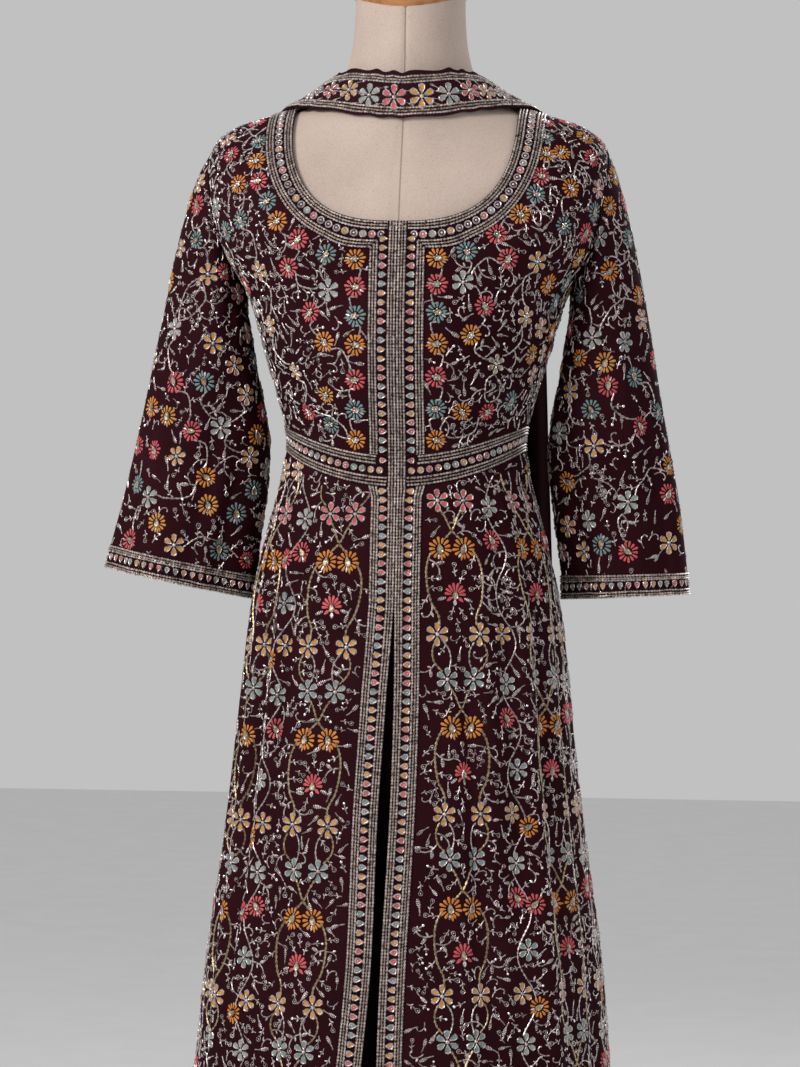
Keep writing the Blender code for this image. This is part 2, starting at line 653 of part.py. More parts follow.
def skirt(front, back, colours):
    for hand, side in ((-1, "left"), (1, "right")):
        grid = skirt_quarter(hand, 1, front[0][-1])
        panel(f"skirt_front_{side}", grid, ["top", "first", "last"], colours["cloth"])
        strip = part_of(grid, slice(None), slice(0, 3))
        panel(
            f"slit_border_{side}", strip, ["top", "first"], colours["zari"],
            wall=TRIM_WALL, lift=SEAM + TRIM_WALL,
        )
    right = skirt_quarter(1, -1, back[0][-1])
    left = skirt_quarter(-1, -1, back[0][-1])
    angle = np.concatenate([right[0][:, :0:-1], left[0] % (2 * np.pi)], axis=1)
    level = np.concatenate([right[1][:, :0:-1], left[1]], axis=1)
    panel("skirt_back", (angle, level), ["top", "first", "last"], colours["cloth"])


def armhole(front, back, hand):
    """Points round the armhole: down its front from the shoulder tip, and up its back."""
    ahead = tunic_surface(*(values[: NECK_ROWS + 1, -1] for values in quarter(front, hand)))
    behind = tunic_surface(*(values[: NECK_ROWS + 1, -1] for values in quarter(back, hand)))
    return np.concatenate([ahead, behind[-2:0:-1]])


def sleeve_rings(table, folds, start, hand):
    """Rings of a sleeve as an array: ring, point, xyz. The first ring is the armhole, a seam further out."""
    count = len(start)
    turn = np.linspace(0, 2 * np.pi, count, endpoint=False)
    rings = []
    first = None
    for index, row in enumerate(table):
        outer = np.array([hand * row.outer_x, row.middle_y, row.outer_z])
        inner = np.array([hand * row.inner_x, row.middle_y, row.inner_z])
        middle = (outer + inner) / 2
        spread = np.cos(turn)[:, None] * (outer - inner) / 2
        depth = np.sin(turn)[:, None] * np.array([0.0, -row.half_depth, 0.0])
        fold = np.zeros(count)
        for place in folds:
            away = (np.degrees(turn) - place.turn + 180) % 360 - 180
            fold += place.depth * np.exp(-((away / place.spread) ** 2) * 1.6)
        fall = (index / (len(table) - 1)) ** 1.2
        oval = middle + spread + depth + unit(spread + depth) * (fold * fall)[:, None]
        if first is None:
            first = start - oval
        fade = max(0.0, 1 - index / 4.5) ** 2
        rings.append(oval + first * fade)
    rings = np.array(rings)
    rings[0] = start + np.array([hand * SLEEVE_SEAM, 0.0, 0.0])
    return rings


def tube_normals(rings):
    """Normals of a tube of rings: across its round edges and along its length."""
    around = np.roll(rings, -1, axis=1) - np.roll(rings, 1, axis=1)
    along = np.gradient(rings, axis=0)
    normals = unit(np.cross(along, around))
    middle = rings.mean(axis=1, keepdims=True)
    inward = np.sum(normals * (rings - middle), axis=-1).mean() < 0
    return -normals if inward else normals


def tube(name, rings, normals, finish, wall=WALL, lift=0.0):
    faces = grid_faces(rings.shape[0], rings.shape[1], wrap=True)
    return cloth(name, rings.reshape(-1, 3), normals.reshape(-1, 3), faces, finish, wall, lift)


def sleeves(front, back, colours):
    for hand, side, table in ((-1, "left", LEFT_SLEEVE), (1, "right", RIGHT_SLEEVE)):
        rings = sleeve_rings(table, SLEEVE_FOLDS[side], armhole(front, back, hand), hand)
        normals = tube_normals(rings)
        normals[0, :, 0] = hand * np.minimum(hand * normals[0, :, 0], 0.0)
        normals[0] = unit(normals[0])
        tube(f"sleeve_{side}", rings, normals, colours["cloth"])
        tube(
            f"cuff_border_{side}", rings[-3:], normals[-3:], colours["zari"],
            wall=TRIM_WALL, lift=SEAM + TRIM_WALL,
        )


def form_level(z):
    heights = [-ring.side_z for ring in (NECK_AND_CHEST + FORM_HIPS)[FIRST_LEVEL_RING:]]
    return np.interp(-np.asarray(z, float), heights, np.arange(len(heights)) + float(FIRST_LEVEL_RING))


def leg_ring(ring, hand, side, share, fall):
    """Half of a leg's ring, from the inseam round the front or the back to the side seam."""
    inner = INSEAM_X + hand * LEG_GAP / 2 + ring.inner * (1.0 if hand > 0 else 0.2)
    outer = hand * ring.outer
    turn = -math.pi / 2 + share * math.pi
    wave = LEG_WAVE_DEPTH * fall * np.sin(share * math.pi * LEG_WAVES) * np.sin(share * math.pi)
    depth = wave + (ring.front if side > 0 else ring.back)
    x = (inner + outer) / 2 + (outer - inner) / 2 * np.sin(turn)
    return np.stack([x, -side * depth * np.cos(turn), np.full_like(x, ring.z)], axis=-1)


def leg_quarter(hand, side, share):
    """Points of one panel of the trousers, from the waist to the hem: columns from the inner edge to the side."""
    rows = []
    for z in [PALAZZO_WAIST_Z - PALAZZO_BAND] + [ring.side_z for ring in FORM_HIPS[2:-1]] + [CROTCH_TOP_Z]:
        level = np.full(share.shape, float(form_level(z)))
        width = ring_points(NECK_AND_CHEST + FORM_HIPS, math.pi / 2, level[0])[0]
        start = math.asin(INSEAM_X / width) * hand
        turn = start + share * (math.pi / 2 - start)
        around = hand * (turn if side > 0 else math.pi - turn)
        ease = WALL + (PALAZZO_BAND_EASE if not rows else PALAZZO_EASE)
        rows.append(form_surface(around, level) + outward(form_surface, around, level) * ease)
    last = rows[-1]
    first_leg = leg_ring(LEG[0], hand, side, share, 0.0)
    for blend, z in ((0.33, 0.722), (0.68, 0.704)):
        row = last + blend * (first_leg - last)
        row[:, 2] = z
        rows.append(row)
    for index, ring in enumerate(LEG):
        rows.append(leg_ring(ring, hand, side, share, index / (len(LEG) - 1)))
    return np.array(rows)


def palazzo(colours):
    share = np.linspace(0, 1, LEG_COLUMNS)
    step = 1e-3
    for hand, side in ((-1, "left"), (1, "right")):
        for face_side, face in ((1, "front"), (-1, "back")):
            points = leg_quarter(hand, face_side, share)
            along = leg_quarter(hand, face_side, share + step) - leg_quarter(hand, face_side, share - step)
            down = np.gradient(points, axis=0)
            normals = unit(np.cross(down, along)) * hand * face_side
            points = drawn_in(points, ["top", "first", "last"])
            faces = grid_faces(*points.shape[:2])
            cloth(
                f"palazzo_{face}_{side}", points.reshape(-1, 3), normals.reshape(-1, 3), faces,
                colours["palazzo"],
            )
    turn = np.linspace(0, 2 * np.pi, 4 * LEG_COLUMNS - 4, endpoint=False)
    levels = form_level([PALAZZO_WAIST_Z, PALAZZO_WAIST_Z - PALAZZO_BAND])
    angle, level = np.meshgrid(turn, levels)
    normals = outward(form_surface, angle, level)
    rings = drawn_in(form_surface(angle, level) + normals * (WALL + PALAZZO_BAND_EASE), ["bottom"])
    tube("palazzo_waistband", rings, normals, colours["palazzo"])


def scarf_edge(table, mirror, first_column):
    angle, level, lift = table[:, first_column : first_column + 3].T
    angle = np.radians(angle) * mirror
    return form_surface(angle, level) + outward(form_surface, angle, level) * lift[:, None]


def scarf_neck_points():
    """The scarf's stretch across the throat, from the back of the left shoulder to the back of the right one."""
    fine = smooth(SCARF_NECK, np.linspace(0, len(SCARF_NECK) - 1, 17))
    sheets = []
    for mirror in (-1, 1):
        top = scarf_edge(fine, mirror, 0)
        low = scarf_edge(fine, mirror, 3)
        share = np.linspace(0, 1, SCARF_COLUMNS)[None, :, None]
        sheets.append(top[:, None] + share * (low - top)[:, None])
    return np.concatenate([sheets[0][:0:-1], sheets[1]])


def tail_points(hand, start):
    """A tail of the scarf: its first row is the end of the stretch across the throat, then pleats hang down."""
    share = np.linspace(0, 1, TAIL_COLUMNS + 1)
    inner, outer = start[0], start[-1]
    first = inner + share[:, None] * (outer - inner)
    rows = [first]
    for row in TAIL:
        x = hand * (row.x + (share - 0.5) * row.width)
        fold = row.pleat * np.cos(share * 2 * math.pi * TAIL_PLEATS)
        y = row.y + fold
        rows.append(np.stack([x, y, np.full_like(x, row.z)], axis=-1))
    return np.array(rows)


def scarf(colours):
    points = scarf_neck_points()
    normals = unit(np.cross(np.gradient(points, axis=1), np.gradient(points, axis=0)))
    if normals[len(normals) // 2, 1, 1] > 0:
        normals = -normals
    ends = {-1: 0, 1: -1}
    flat = drawn_in(points, ["top", "bottom"])
    faces = grid_faces(*points.shape[:2])
    cloth("dupatta_neck", flat.reshape(-1, 3), normals.reshape(-1, 3), faces, colours["cloth"], wall=SCARF_WALL)
    for hand, side in ((-1, "left"), (1, "right")):
        hanging = tail_points(hand, points[ends[hand]])
        facing = unit(np.cross(np.gradient(hanging, axis=0), np.gradient(hanging, axis=1)))
        if facing[-1, :, 1].mean() < 0:
            facing = -facing
        facing[0] = normals[ends[hand]].mean(axis=0)
        hanging = drawn_in(hanging, ["top"])
        faces = grid_faces(*hanging.shape[:2])
        cloth(
            f"dupatta_tail_{side}", hanging.reshape(-1, 3), facing.reshape(-1, 3), faces, colours["cloth"]
        )


def stacked(name, rings, finish):
    """A solid through rings of points, closed by a fan at each end."""
    rows, count = rings.shape[:2]
    points = np.concatenate([rings.reshape(-1, 3), [rings[0].mean(axis=0), rings[-1].mean(axis=0)]])
    top, bottom = rows * count, rows * count + 1
    faces = grid_faces(rows, count, wrap=True)
    for index in range(count):
        after = (index + 1) % count
        faces.append((after, index, top))
        faces.append(((rows - 1) * count + index, (rows - 1) * count + after, bottom))
    return closed_solid(name, points, faces, finish)


def dress_form(colours):
    turn = np.linspace(0, 2 * np.pi, FORM_COLUMNS, endpoint=False)
    levels = np.arange(len(NECK_AND_CHEST) + len(FORM_HIPS), dtype=float)
    angle, level = np.meshgrid(turn, levels)
    rings = form_surface(angle, level)
    stacked("form_torso", rings, colours["linen"])

    neck = rings[0]
    middle = neck.mean(axis=0)
    slope = unit(np.cross(neck[0] - middle, neck[FORM_COLUMNS // 4] - middle))
    up = slope if slope[2] > 0 else -slope
    cap = [
        middle + (neck - middle) * scale + up * height
        for scale, height in CAP_PROFILE
    ]
    stacked("form_neck_cap", np.array(cap), colours["wood"])


def stand(colours):
    bottom = FORM_HIPS[-1].side_z
    built = bmesh.new()
    length = bottom - FLANGE_TOP - 2 * SEAM
    bmesh.ops.create_cone(
        built, cap_ends=True, segments=24, radius1=POLE_RADIUS, radius2=POLE_RADIUS, depth=length
    )
    mesh = bpy.data.meshes.new("form_pole")
    built.to_mesh(mesh)
    built.free()
    mesh.shade_smooth()
    mesh.set_sharp_from_angle(angle=math.radians(40))
    mesh.materials.append(colours["steel"])
    pole = bpy.data.objects.new("form_pole", mesh)
    pole.location = (0.0, 0.0, FLANGE_TOP + SEAM + length / 2)
    suit.objects.link(pole)

    round_over = 0.006
    profile = [(0.0, FLANGE_TOP), (FLANGE_RADIUS, FLANGE_TOP), (FLANGE_RADIUS, BASE_THICKNESS)]
    for step in range(3):
        turn = math.radians(45 * step)
        profile.append(
            (
                BASE_RADIUS - round_over + round_over * math.sin(turn),
                BASE_THICKNESS - round_over + round_over * math.cos(turn),
            )
        )
    profile += [(BASE_RADIUS, 0.0), (0.0, 0.0)]
    mesh = bpy.data.meshes.new("form_base")
    edges = [(index, index + 1) for index in range(len(profile) - 1)]
    mesh.from_pydata([(x, 0.0, z) for x, z in profile], edges, [])
    base = bpy.data.objects.new("form_base", mesh)
    turned = base.modifiers.new("turned", "SCREW")
    turned.axis = "Z"
    turned.steps = 40
    turned.render_steps = 40
    turned.use_merge_vertices = True
    turned.merge_threshold = 0.00005
    turned.use_smooth_shade = False
    mesh.materials.append(colours["base"])
    suit.objects.link(base)


for old in list(bpy.data.objects):
    bpy.data.objects.remove(old)
suit = bpy.data.collections.new("palazzo_suit_on_dress_form")
bpy.context.scene.collection.children.link(suit)
COLOURS = {
    "cloth": material("aubergine_georgette", (0.040, 0.010, 0.018), 0.75),
    "zari": material("zari_border", (0.230, 0.190, 0.150), 0.45, 0.3),
    "palazzo": material("plain_georgette", (0.035, 0.008, 0.022), 0.80),
    "linen": material("linen", (0.560, 0.450, 0.370), 0.90),
    "wood": material("beech", (0.420, 0.170, 0.060), 0.40),
    "steel": material("brushed_steel", (0.550, 0.550, 0.560), 0.35, 1.0),
    "base": material("painted_base", (0.030, 0.026, 0.024), 0.45),
}
FRONT_QUARTER = bodice_quarter(1)
BACK_QUARTER = bodice_quarter(-1)
bodice(FRONT_QUARTER, BACK_QUARTER, COLOURS)
waistband(FRONT_QUARTER, BACK_QUARTER, COLOURS)
skirt(FRONT_QUARTER, BACK_QUARTER, COLOURS)
sleeves(FRONT_QUARTER, BACK_QUARTER, COLOURS)
palazzo(COLOURS)
scarf(COLOURS)
dress_form(COLOURS)
stand(COLOURS)
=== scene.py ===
"""Looks of the palazzo suit on its dress form.

Each cloth of the frame is replaced by a fine shell cut to the same pattern. On the shells lies raised
embroidery: zari cords, jewel drops, flowers of silk thread, vines, leaves, curls and sequins, each sewn down
onto the cloth under it. Metres, +Z up, the front faces -Y.
"""

import math
from collections import defaultdict, namedtuple

import bmesh
import bpy
import numpy as np
from mathutils import Matrix, Vector
from mathutils.bvhtree import BVHTree


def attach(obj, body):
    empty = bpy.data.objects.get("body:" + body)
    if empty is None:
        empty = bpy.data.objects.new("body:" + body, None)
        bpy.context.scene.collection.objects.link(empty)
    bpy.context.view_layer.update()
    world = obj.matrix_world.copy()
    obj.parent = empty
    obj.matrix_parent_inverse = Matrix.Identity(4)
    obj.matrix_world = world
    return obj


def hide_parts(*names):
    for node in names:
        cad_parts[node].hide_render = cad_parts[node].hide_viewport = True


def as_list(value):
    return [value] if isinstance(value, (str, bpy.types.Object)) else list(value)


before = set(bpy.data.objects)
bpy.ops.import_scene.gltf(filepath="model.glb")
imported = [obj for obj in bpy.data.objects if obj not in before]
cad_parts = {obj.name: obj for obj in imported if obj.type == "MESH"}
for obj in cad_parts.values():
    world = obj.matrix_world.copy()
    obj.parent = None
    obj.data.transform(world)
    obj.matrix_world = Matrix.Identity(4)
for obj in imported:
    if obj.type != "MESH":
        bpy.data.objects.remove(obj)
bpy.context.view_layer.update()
BODY = "root"
SIDES = ((-1, "left"), (1, "right"))
CLOTHS = {}

# Picture: its size in pixels, the lens, and where the camera stands
PICTURE_WIDTH = 800
PICTURE_HEIGHT = 1067
LENS_MM = 106.5
SENSOR_MM = 36.0
CAMERA_DISTANCE = 3.0
CAMERA_TURN = math.radians(5.0)
CAMERA_ROLL = math.radians(0.55)
CAMERA_Z = 0.995
CAMERA_ASIDE = -0.0055
# Lights: name, place, target, width in metres, power in watts, colour
LIGHTS = [
    ("key", (-2.1, -2.2, 2.6), (0.0, 0.0, 1.05), 1.2, 84.0, (1.0, 0.985, 0.96)),
    ("fill", (2.4, -2.4, 1.4), (0.0, 0.0, 0.9), 2.0, 14.0, (0.97, 0.98, 1.0)),
    ("rim", (1.4, 2.2, 2.4), (0.0, 0.0, 1.2), 1.2, 20.0, (1.0, 1.0, 1.0)),
]
FLOOR_REACH = 9.0
FLOOR_Z = -0.001

# Cloth
WALL = 0.0012
BAND_WALL = 0.0016
BORDER_WIDTH = 0.026
SLIT_BORDER_WIDTH = 0.024
BACK_STRIP_ROWS = 4
SEAM = 0.0003
SLEEVE_SEAM = 0.0006
TRIM_WALL = 0.0004
TRIM_LIFT = 0.0005

# Neckline, armhole and waist of the tunic, as in the frame
NECK_HALF_WIDTH = 0.105
NECK_TOP_Z = 1.3975
FRONT_NECK_DEPTH = 0.1165
BACK_NECK_DEPTH = 0.058
NECK_SQUARENESS = 2.8
SHOULDER_TIP_LEVEL = 8.0
UNDERARM_LEVEL = 12.0
FRONT_ARMHOLE_CUT = math.radians(17)
BACK_ARMHOLE_CUT = math.radians(14)
WAIST_TOP_Z = 1.098
WAIST_BOTTOM_Z = 1.0735
WAIST_TOP_DIP = 0.031
WAIST_BOTTOM_DIP = 0.036
SKIRT_HEM_Z = 0.13
SLIT_TOP_Z = 0.93
NECK_ROW_SPREAD = 1.6
ARMHOLE_ROW_SPREAD = 1.3
SKIRT_ROW_SPREAD = 0.96
SLIT_OPENING = 0.012
# First guess of the ring level at a height, and of the tunic's half width
GUESS_HEIGHTS = [1.4, 1.29, 1.085]
GUESS_LEVELS = [4.5, 8.0, 16.0]
GUESS_HALF_WIDTH = 0.19

# Trousers
PALAZZO_WAIST_Z = 1.05
PALAZZO_BAND = 0.03
CROTCH_TOP_Z = 0.757
INSEAM_X = 0.026
LEG_GAP = 0.01
PALAZZO_EASE = 0.0045
PALAZZO_BAND_EASE = 0.003

# Form and stand
CAP_PROFILE = [(0.34, 0.023), (0.7, 0.0205), (0.94, 0.015), (1.04, 0.0065), (1.05, -0.004), (1.035, -0.0095)]
FORM_SEAM_PULL = 0.04
FORM_SEAM_DEPTH = 0.0012
FORM_SEAM_WIDTH = 0.0011
POLE_RADIUS = 0.0125
BASE_RADIUS = 0.17
BASE_THICKNESS = 0.022
BASE_ROUND = 0.006
FLANGE_RADIUS = 0.022
FLANGE_TOP = 0.03
STAND_BEVEL = 0.001
POLE_BEVEL = 0.0005

# Rows and columns of the shells
NECK_ROWS = 44
FRONT_ROWS = 34
BORDER_COLUMNS = 6
PANEL_COLUMNS = 34
SKIRT_ROWS = 98
SLEEVE_ROWS = 54
LEG_ROWS = 70
LEG_COLUMNS = 28
CUFF_ROWS = 10
FORM_ROWS = 90
FORM_COLUMNS = 128
WAIST_ROWS = 7
SCARF_ROWS = 97
TAIL_ROWS = 60
TAIL_COLUMNS = 37


def table(kind, rows, plain=""):
    """Named rows, in millimetres apart from the plain fields, turned into metres.

    A row that is two short starts with one height for its front, side and back.
    """
    full = []
    plain = plain.split()
    for row in rows:
        named = zip(kind._fields, row if len(row) == len(kind._fields) else (row[0], row[0], *row))
        full.append(kind(*(value if name in plain else round(value / 1000, 7) for name, value in named)))
    return full


Ring = namedtuple("Ring", "front_z side_z back_z width front back squareness")
NECK_AND_CHEST = table(Ring, [
    (1494, 1512, 1530, 52, 58, 46, 2), (1462, 1482, 1500, 52.5, 59, 48, 2),
    (1428, 1452, 1470, 55.5, 61, 52, 2), (1400, 1425, 1443, 64, 66, 58, 2),
    (1380, 1405, 1420, 82, 73, 66, 2), (1358, 1394, 1396, 108, 82, 76, 2.05),
    (1335, 1385.5, 1368, 138, 92, 86, 2.1), (1312, 1376, 1340, 165, 101, 94, 2.15),
    (1290, 1360, 1312, 183, 108, 99, 2.2), (1270, 1335, 1288, 187.5, 113.5, 102, 2.25),
    (1252, 1300, 1266, 184, 118, 104, 2.3), (1236, 1263, 1244, 171, 121.5, 105, 2.3),
    (1218, 1226, 1220, 149, 124.5, 104.5, 2.3), (1193, 137.5, 127, 102, 2.3), (1165, 130, 127, 98.5, 2.3),
    (1125, 118, 117.5, 93, 2.25), (1085, 109.5, 103, 87.5, 2.2),
], "squareness")
FORM_HIPS = table(Ring, [
    (1050, 104.2, 93.5, 83.8, 2.15), (1020, 103, 90, 82, 2.15), (990, 107, 91.5, 86.5, 2.15),
    (950, 118, 97, 98, 2.2), (880, 134, 102, 116, 2.2), (820, 137, 100, 119, 2.2),
    (775, 131, 93, 109, 2.2), (745, 113, 79, 92, 2.2),
], "squareness")
SKIRT = table(Ring, [
    (1050, 116.5, 103.5, 93, 2.2), (1020, 124.5, 108, 98.5, 2.2), (985, 134, 112.5, 107, 2.2),
    (927, 145.5, 120, 120, 2.2), (850, 153.5, 127.5, 134, 2.2), (780, 160.5, 134, 143, 2.2),
    (692, 172, 142, 152, 2.15), (600, 185, 150, 160, 2.15), (488, 195.7, 159, 167, 2.1),
    (360, 208.5, 168, 174, 2.1), (250, 222.5, 176, 181, 2.1), (130, 238.5, 184, 189, 2.1),
], "squareness")
# Space between the form and the outside of the tunic, ring by ring of NECK_AND_CHEST
TUNIC_EASE = [0.0036] * 9 + [0.0038, 0.004, 0.0045, 0.0045, 0.0045, 0.0045, 0.0042, 0.004]
FIRST_LEVEL_RING = 13

FOLD_SHARPNESS = 1.6
# Folds of the skirt: middle angle from the front, half width in degrees, depth at the hem (out is positive),
# height where the fold starts
Fold = namedtuple("Fold", "angle spread depth top_z")
SKIRT_FOLDS = table(Fold, [
    (-166, 13, -12, 900), (-143, 12, 9, 800), (-121, 12, -13, 950), (-97, 13, 7, 850),
    (-73, 11, -14, 1020), (-55, 10, 6, 700), (-37, 11, -8, 780), (33, 10, -15, 950), (50, 10, 7, 750),
    (68, 11, -12, 1020), (93, 12, 6, 800), (116, 12, -14, 980), (140, 12, 8, 750), (163, 13, -10, 920),
], "angle spread")

# Edges of the front slit: height, sideways drift of its middle, width of the gap
SlitPoint = namedtuple("SlitPoint", "z drift gap")
SLIT = table(SlitPoint, [
    (930, 0, 0.4), (850, -2, 6), (740, -6, 10), (600, -11, 8), (488, -17, 15), (300, -22, 24),
    (130, -26, 34),
])

# Sleeves: outer and inner lines, half depth and middle from front to back, from the shoulder to the cuff
SleeveRing = namedtuple("SleeveRing", "outer_x outer_z inner_x inner_z half_depth middle_y")
LEFT_SLEEVE = table(SleeveRing, [
    (190, 1362, 156, 1226, 42, 0), (203, 1338, 155.5, 1206, 44, 4), (213.7, 1306, 150, 1180, 46, 8),
    (225, 1262, 145.5, 1150, 47, 12), (234, 1217, 139, 1118, 47, 16), (244.5, 1170, 134, 1085, 47, 21),
    (255, 1122, 134.5, 1053, 47, 26), (265.5, 1075, 138, 1022, 46, 29), (277, 1027, 142.5, 990, 45, 31),
    (288, 986, 146.5, 957, 44, 32), (291, 973, 147.5, 944, 44, 32), (294, 960, 148.5, 931, 44, 32),
])
RIGHT_SLEEVE = table(SleeveRing, [
    (190, 1362, 156, 1226, 42, 0), (198.5, 1338, 155.5, 1206, 45, 4), (207, 1306, 150, 1180, 47, 8),
    (216.5, 1262, 145.5, 1150, 49, 12), (225, 1217, 139, 1118, 49, 16), (233, 1170, 134, 1085, 49, 21),
    (241, 1122, 134.5, 1053, 49, 26), (250, 1074, 138, 1022, 48, 29), (259, 1025, 142.5, 990, 47, 31),
    (266.5, 966, 146.5, 960, 46, 32), (267.5, 953, 147, 947, 46, 32), (268.5, 940, 147.5, 934, 46, 32),
])
# How many rows of these the sleeve takes to change from the armhole's outline to its own
ARMHOLE_BLEND = 4.5
# Folds of the sleeves: place round the sleeve in degrees (0 is the outer line, 90 the front), half width in
# degrees, depth at the cuff (out is positive)
SleeveFold = namedtuple("SleeveFold", "turn spread depth")
SLEEVE_FOLDS = {
    "left": table(SleeveFold, [
        (38, 24, -6), (80, 26, 4), (128, 24, -7), (222, 26, -6), (300, 28, 5),
    ], "turn spread"),
    "right": table(SleeveFold, [
        (50, 26, -5), (98, 24, 5), (140, 24, -6), (238, 26, -7), (310, 26, 4),
    ], "turn spread"),
}

# Trouser legs below the crotch: outer seam from the middle, front and back depth
LegRing = namedtuple("LegRing", "z outer front back inner")
LEG = table(LegRing, [
    (690, 146, 103, 116, 0), (600, 153, 104, 119, 1), (480, 164, 108, 122, 2),
    (360, 175, 113, 126, 4), (250, 186, 118, 130, 6), (140, 197, 123, 134, 9),
    (36, 208, 128, 138, 12),
])
# Rows between the crotch and the legs: share of the way across, height
LEG_BLENDS = [(0.33, 0.722), (0.68, 0.704)]
LEG_WAVES = 6
LEG_WAVE_DEPTH = 0.008

# Scarf across the throat: for its upper and its lower edge the angle from the front, the ring level of the
# form and the height above it
ScarfPoint = namedtuple("ScarfPoint", "top_angle top_level top_lift low_angle low_level low_lift")
SCARF_NECK = table(ScarfPoint, [
    (0, 2.2, 10.5, 0, 4.05, 4.5), (18, 2.22, 10.5, 18, 4.1, 4.6), (36, 2.35, 10.8, 36, 4.25, 5),
    (52, 2.62, 11, 52, 4.5, 5.8), (66, 2.95, 11, 66, 4.85, 7), (79, 3.35, 10.5, 79, 5.15, 7.7),
    (91, 3.75, 10, 91, 5.4, 7.8), (104, 4.15, 10, 102, 5.62, 8), (118, 4.5, 9.8, 112, 5.95, 8.4),
    (130, 4.95, 9.8, 122, 6.45, 9), (139, 5.55, 10.2, 130, 7.1, 9.2), (147, 6.3, 10.4, 137, 7.9, 9.2),
], "top_angle top_level low_angle low_level")
SCARF_WALL = 0.0022
# Width of the ruffle across the scarf, from its upper edge to its lower one
SCARF_RUFFLE = np.array([0.0013, 0.0004, 0.0, 0.0, 0.0, 0.0, 0.0, 0.0002, 0.0007])

# Tails of the scarf: height, middle sideways, distance behind the axis, width, depth of the pleats
TailRow = namedtuple("TailRow", "z x y width pleat")
TAIL = table(TailRow, [
    (1300, 96, 110, 50, 1.5), (1255, 96, 117.5, 54, 2.8), (1180, 95, 122, 62, 4), (1090, 94, 126, 70, 4.5),
    (980, 93, 135, 80, 5), (860, 92, 154, 90, 6), (740, 92, 168, 100, 7), (610, 92, 179, 112, 8),
    (480, 92, 189, 124, 9),
])
TAIL_PLEATS = 3


def smooth(values, level):
    """Catmull-Rom curve through equally spaced values (one row each), read at the given levels."""
    values = np.asarray(values, float)
    level = np.clip(np.asarray(level, float), 0, len(values) - 1)
    start = np.minimum(level.astype(int), len(values) - 2)
    share = level - start
    share = share.reshape(share.shape + (1,) * (values.ndim - 1))
    before = values[np.maximum(start - 1, 0)]
    here = values[start]
    there = values[start + 1]
    after = values[np.minimum(start + 2, len(values) - 1)]
    slope_here = (there - before) / 2
    slope_there = (after - here) / 2
    return (
        here * (2 * share**3 - 3 * share**2 + 1)
        + slope_here * (share**3 - 2 * share**2 + share)
        + there * (-2 * share**3 + 3 * share**2)
        + slope_there * (share**3 - share**2)
    )


def by_height(rows, z):
    """The row of a table at height z, its heights falling from row to row, read on a smooth curve."""
    heights = -np.array([row[0] for row in rows])
    return smooth(rows, np.interp(-np.asarray(z, float), heights, np.arange(len(rows))))


def ring_points(rings, angle, level):
    """Points on a stack of rings; angle 0 is the front, a quarter turn is the +X side."""
    angle, level = np.broadcast_arrays(np.asarray(angle, float), np.asarray(level, float))
    front_z, side_z, back_z, width, front, back, power = np.moveaxis(smooth(rings, level), -1, 0)
    sine = np.sin(angle)
    cosine = np.cos(angle)
    reach = (np.abs(sine) ** power + np.abs(cosine) ** power) ** (-1 / power)
    ahead = cosine > 0
    depth = np.where(ahead, front, back)
    end_z = np.where(ahead, front_z, back_z)
    return np.stack(
        [width * reach * sine, -depth * reach * cosine, side_z + (end_z - side_z) * cosine**2], axis=-1
    )


def unit(vectors):
    return vectors / np.maximum(np.linalg.norm(vectors, axis=-1, keepdims=True), 1e-12)


def turns(count):
    """Angles of points evenly round a circle."""
    return np.linspace(0, 2 * np.pi, count, endpoint=False)


def bell(away, spread, sharpness=1.0):
    """Height of a rounded fold at some way from its middle: 1 there, and close to 0 beyond its spread."""
    return np.exp(-((away / spread) ** 2) * sharpness)


def outward(surface, first, second, step=1e-3):
    """Unit normals of surface(first, second), from differences in each direction."""
    along = surface(first + step, second) - surface(first - step, second)
    down = surface(first, second + step) - surface(first, second - step)
    return unit(np.cross(down, along))


def form_surface(angle, level):
    return ring_points(NECK_AND_CHEST + FORM_HIPS, angle, level)


def turned_from(degrees, middle):
    """Degrees from a middle direction, between -180 and 180."""
    return (degrees - middle + 180) % 360 - 180


def grown_ring(index, ease):
    """The form's ring at this index, moved out by ease at its front, side and back."""
    around = np.radians([0.0, 90.0, 180.0])
    front, side, back = outward(form_surface, around, np.full(3, float(index))) * ease
    moves = (front[2], side[2], back[2], side[0], -front[1], back[1], 0.0)
    return Ring(*(np.array(NECK_AND_CHEST[index]) + moves))


TUNIC_RINGS = [grown_ring(index, ease) for index, ease in enumerate(TUNIC_EASE)] + SKIRT


def near_level(rings, z):
    """The level of these rings at height z, straight between their sides."""
    heights = [-ring.side_z for ring in rings[FIRST_LEVEL_RING:]]
    return np.interp(-np.asarray(z, float), heights, np.arange(len(heights)) + float(FIRST_LEVEL_RING))


def level_at(z):
    """The tunic's level at height z, where its rings lie level."""
    guess = near_level(TUNIC_RINGS, z)
    for _ in range(6):
        error = smooth(TUNIC_RINGS, guess)[..., 1] - z
        slope = (smooth(TUNIC_RINGS, guess + 0.01)[..., 1] - smooth(TUNIC_RINGS, guess - 0.01)[..., 1]) / 0.02
        guess = guess - error / slope
    return guess


def fold_depth(angle, z):
    """How far the skirt's folds stand out at this angle and height."""
    total = 0.0
    for fold in SKIRT_FOLDS:
        away = turned_from(np.degrees(angle), fold.angle)
        fall = np.clip((fold.top_z - z) / (fold.top_z - SKIRT_HEM_Z), 0, 1)
        total = total + fold.depth * fall**1.3 * bell(away, fold.spread, FOLD_SHARPNESS)
    return total


def tunic_surface(angle, level):
    """The outside of the tunic, folds included."""
    points = ring_points(TUNIC_RINGS, angle, level)
    lift = fold_depth(angle, points[..., 2])
    across = unit(np.stack([np.sin(angle) / 1.2, -np.cos(angle), np.zeros_like(lift)], axis=-1))
    return points + across * lift[..., None]


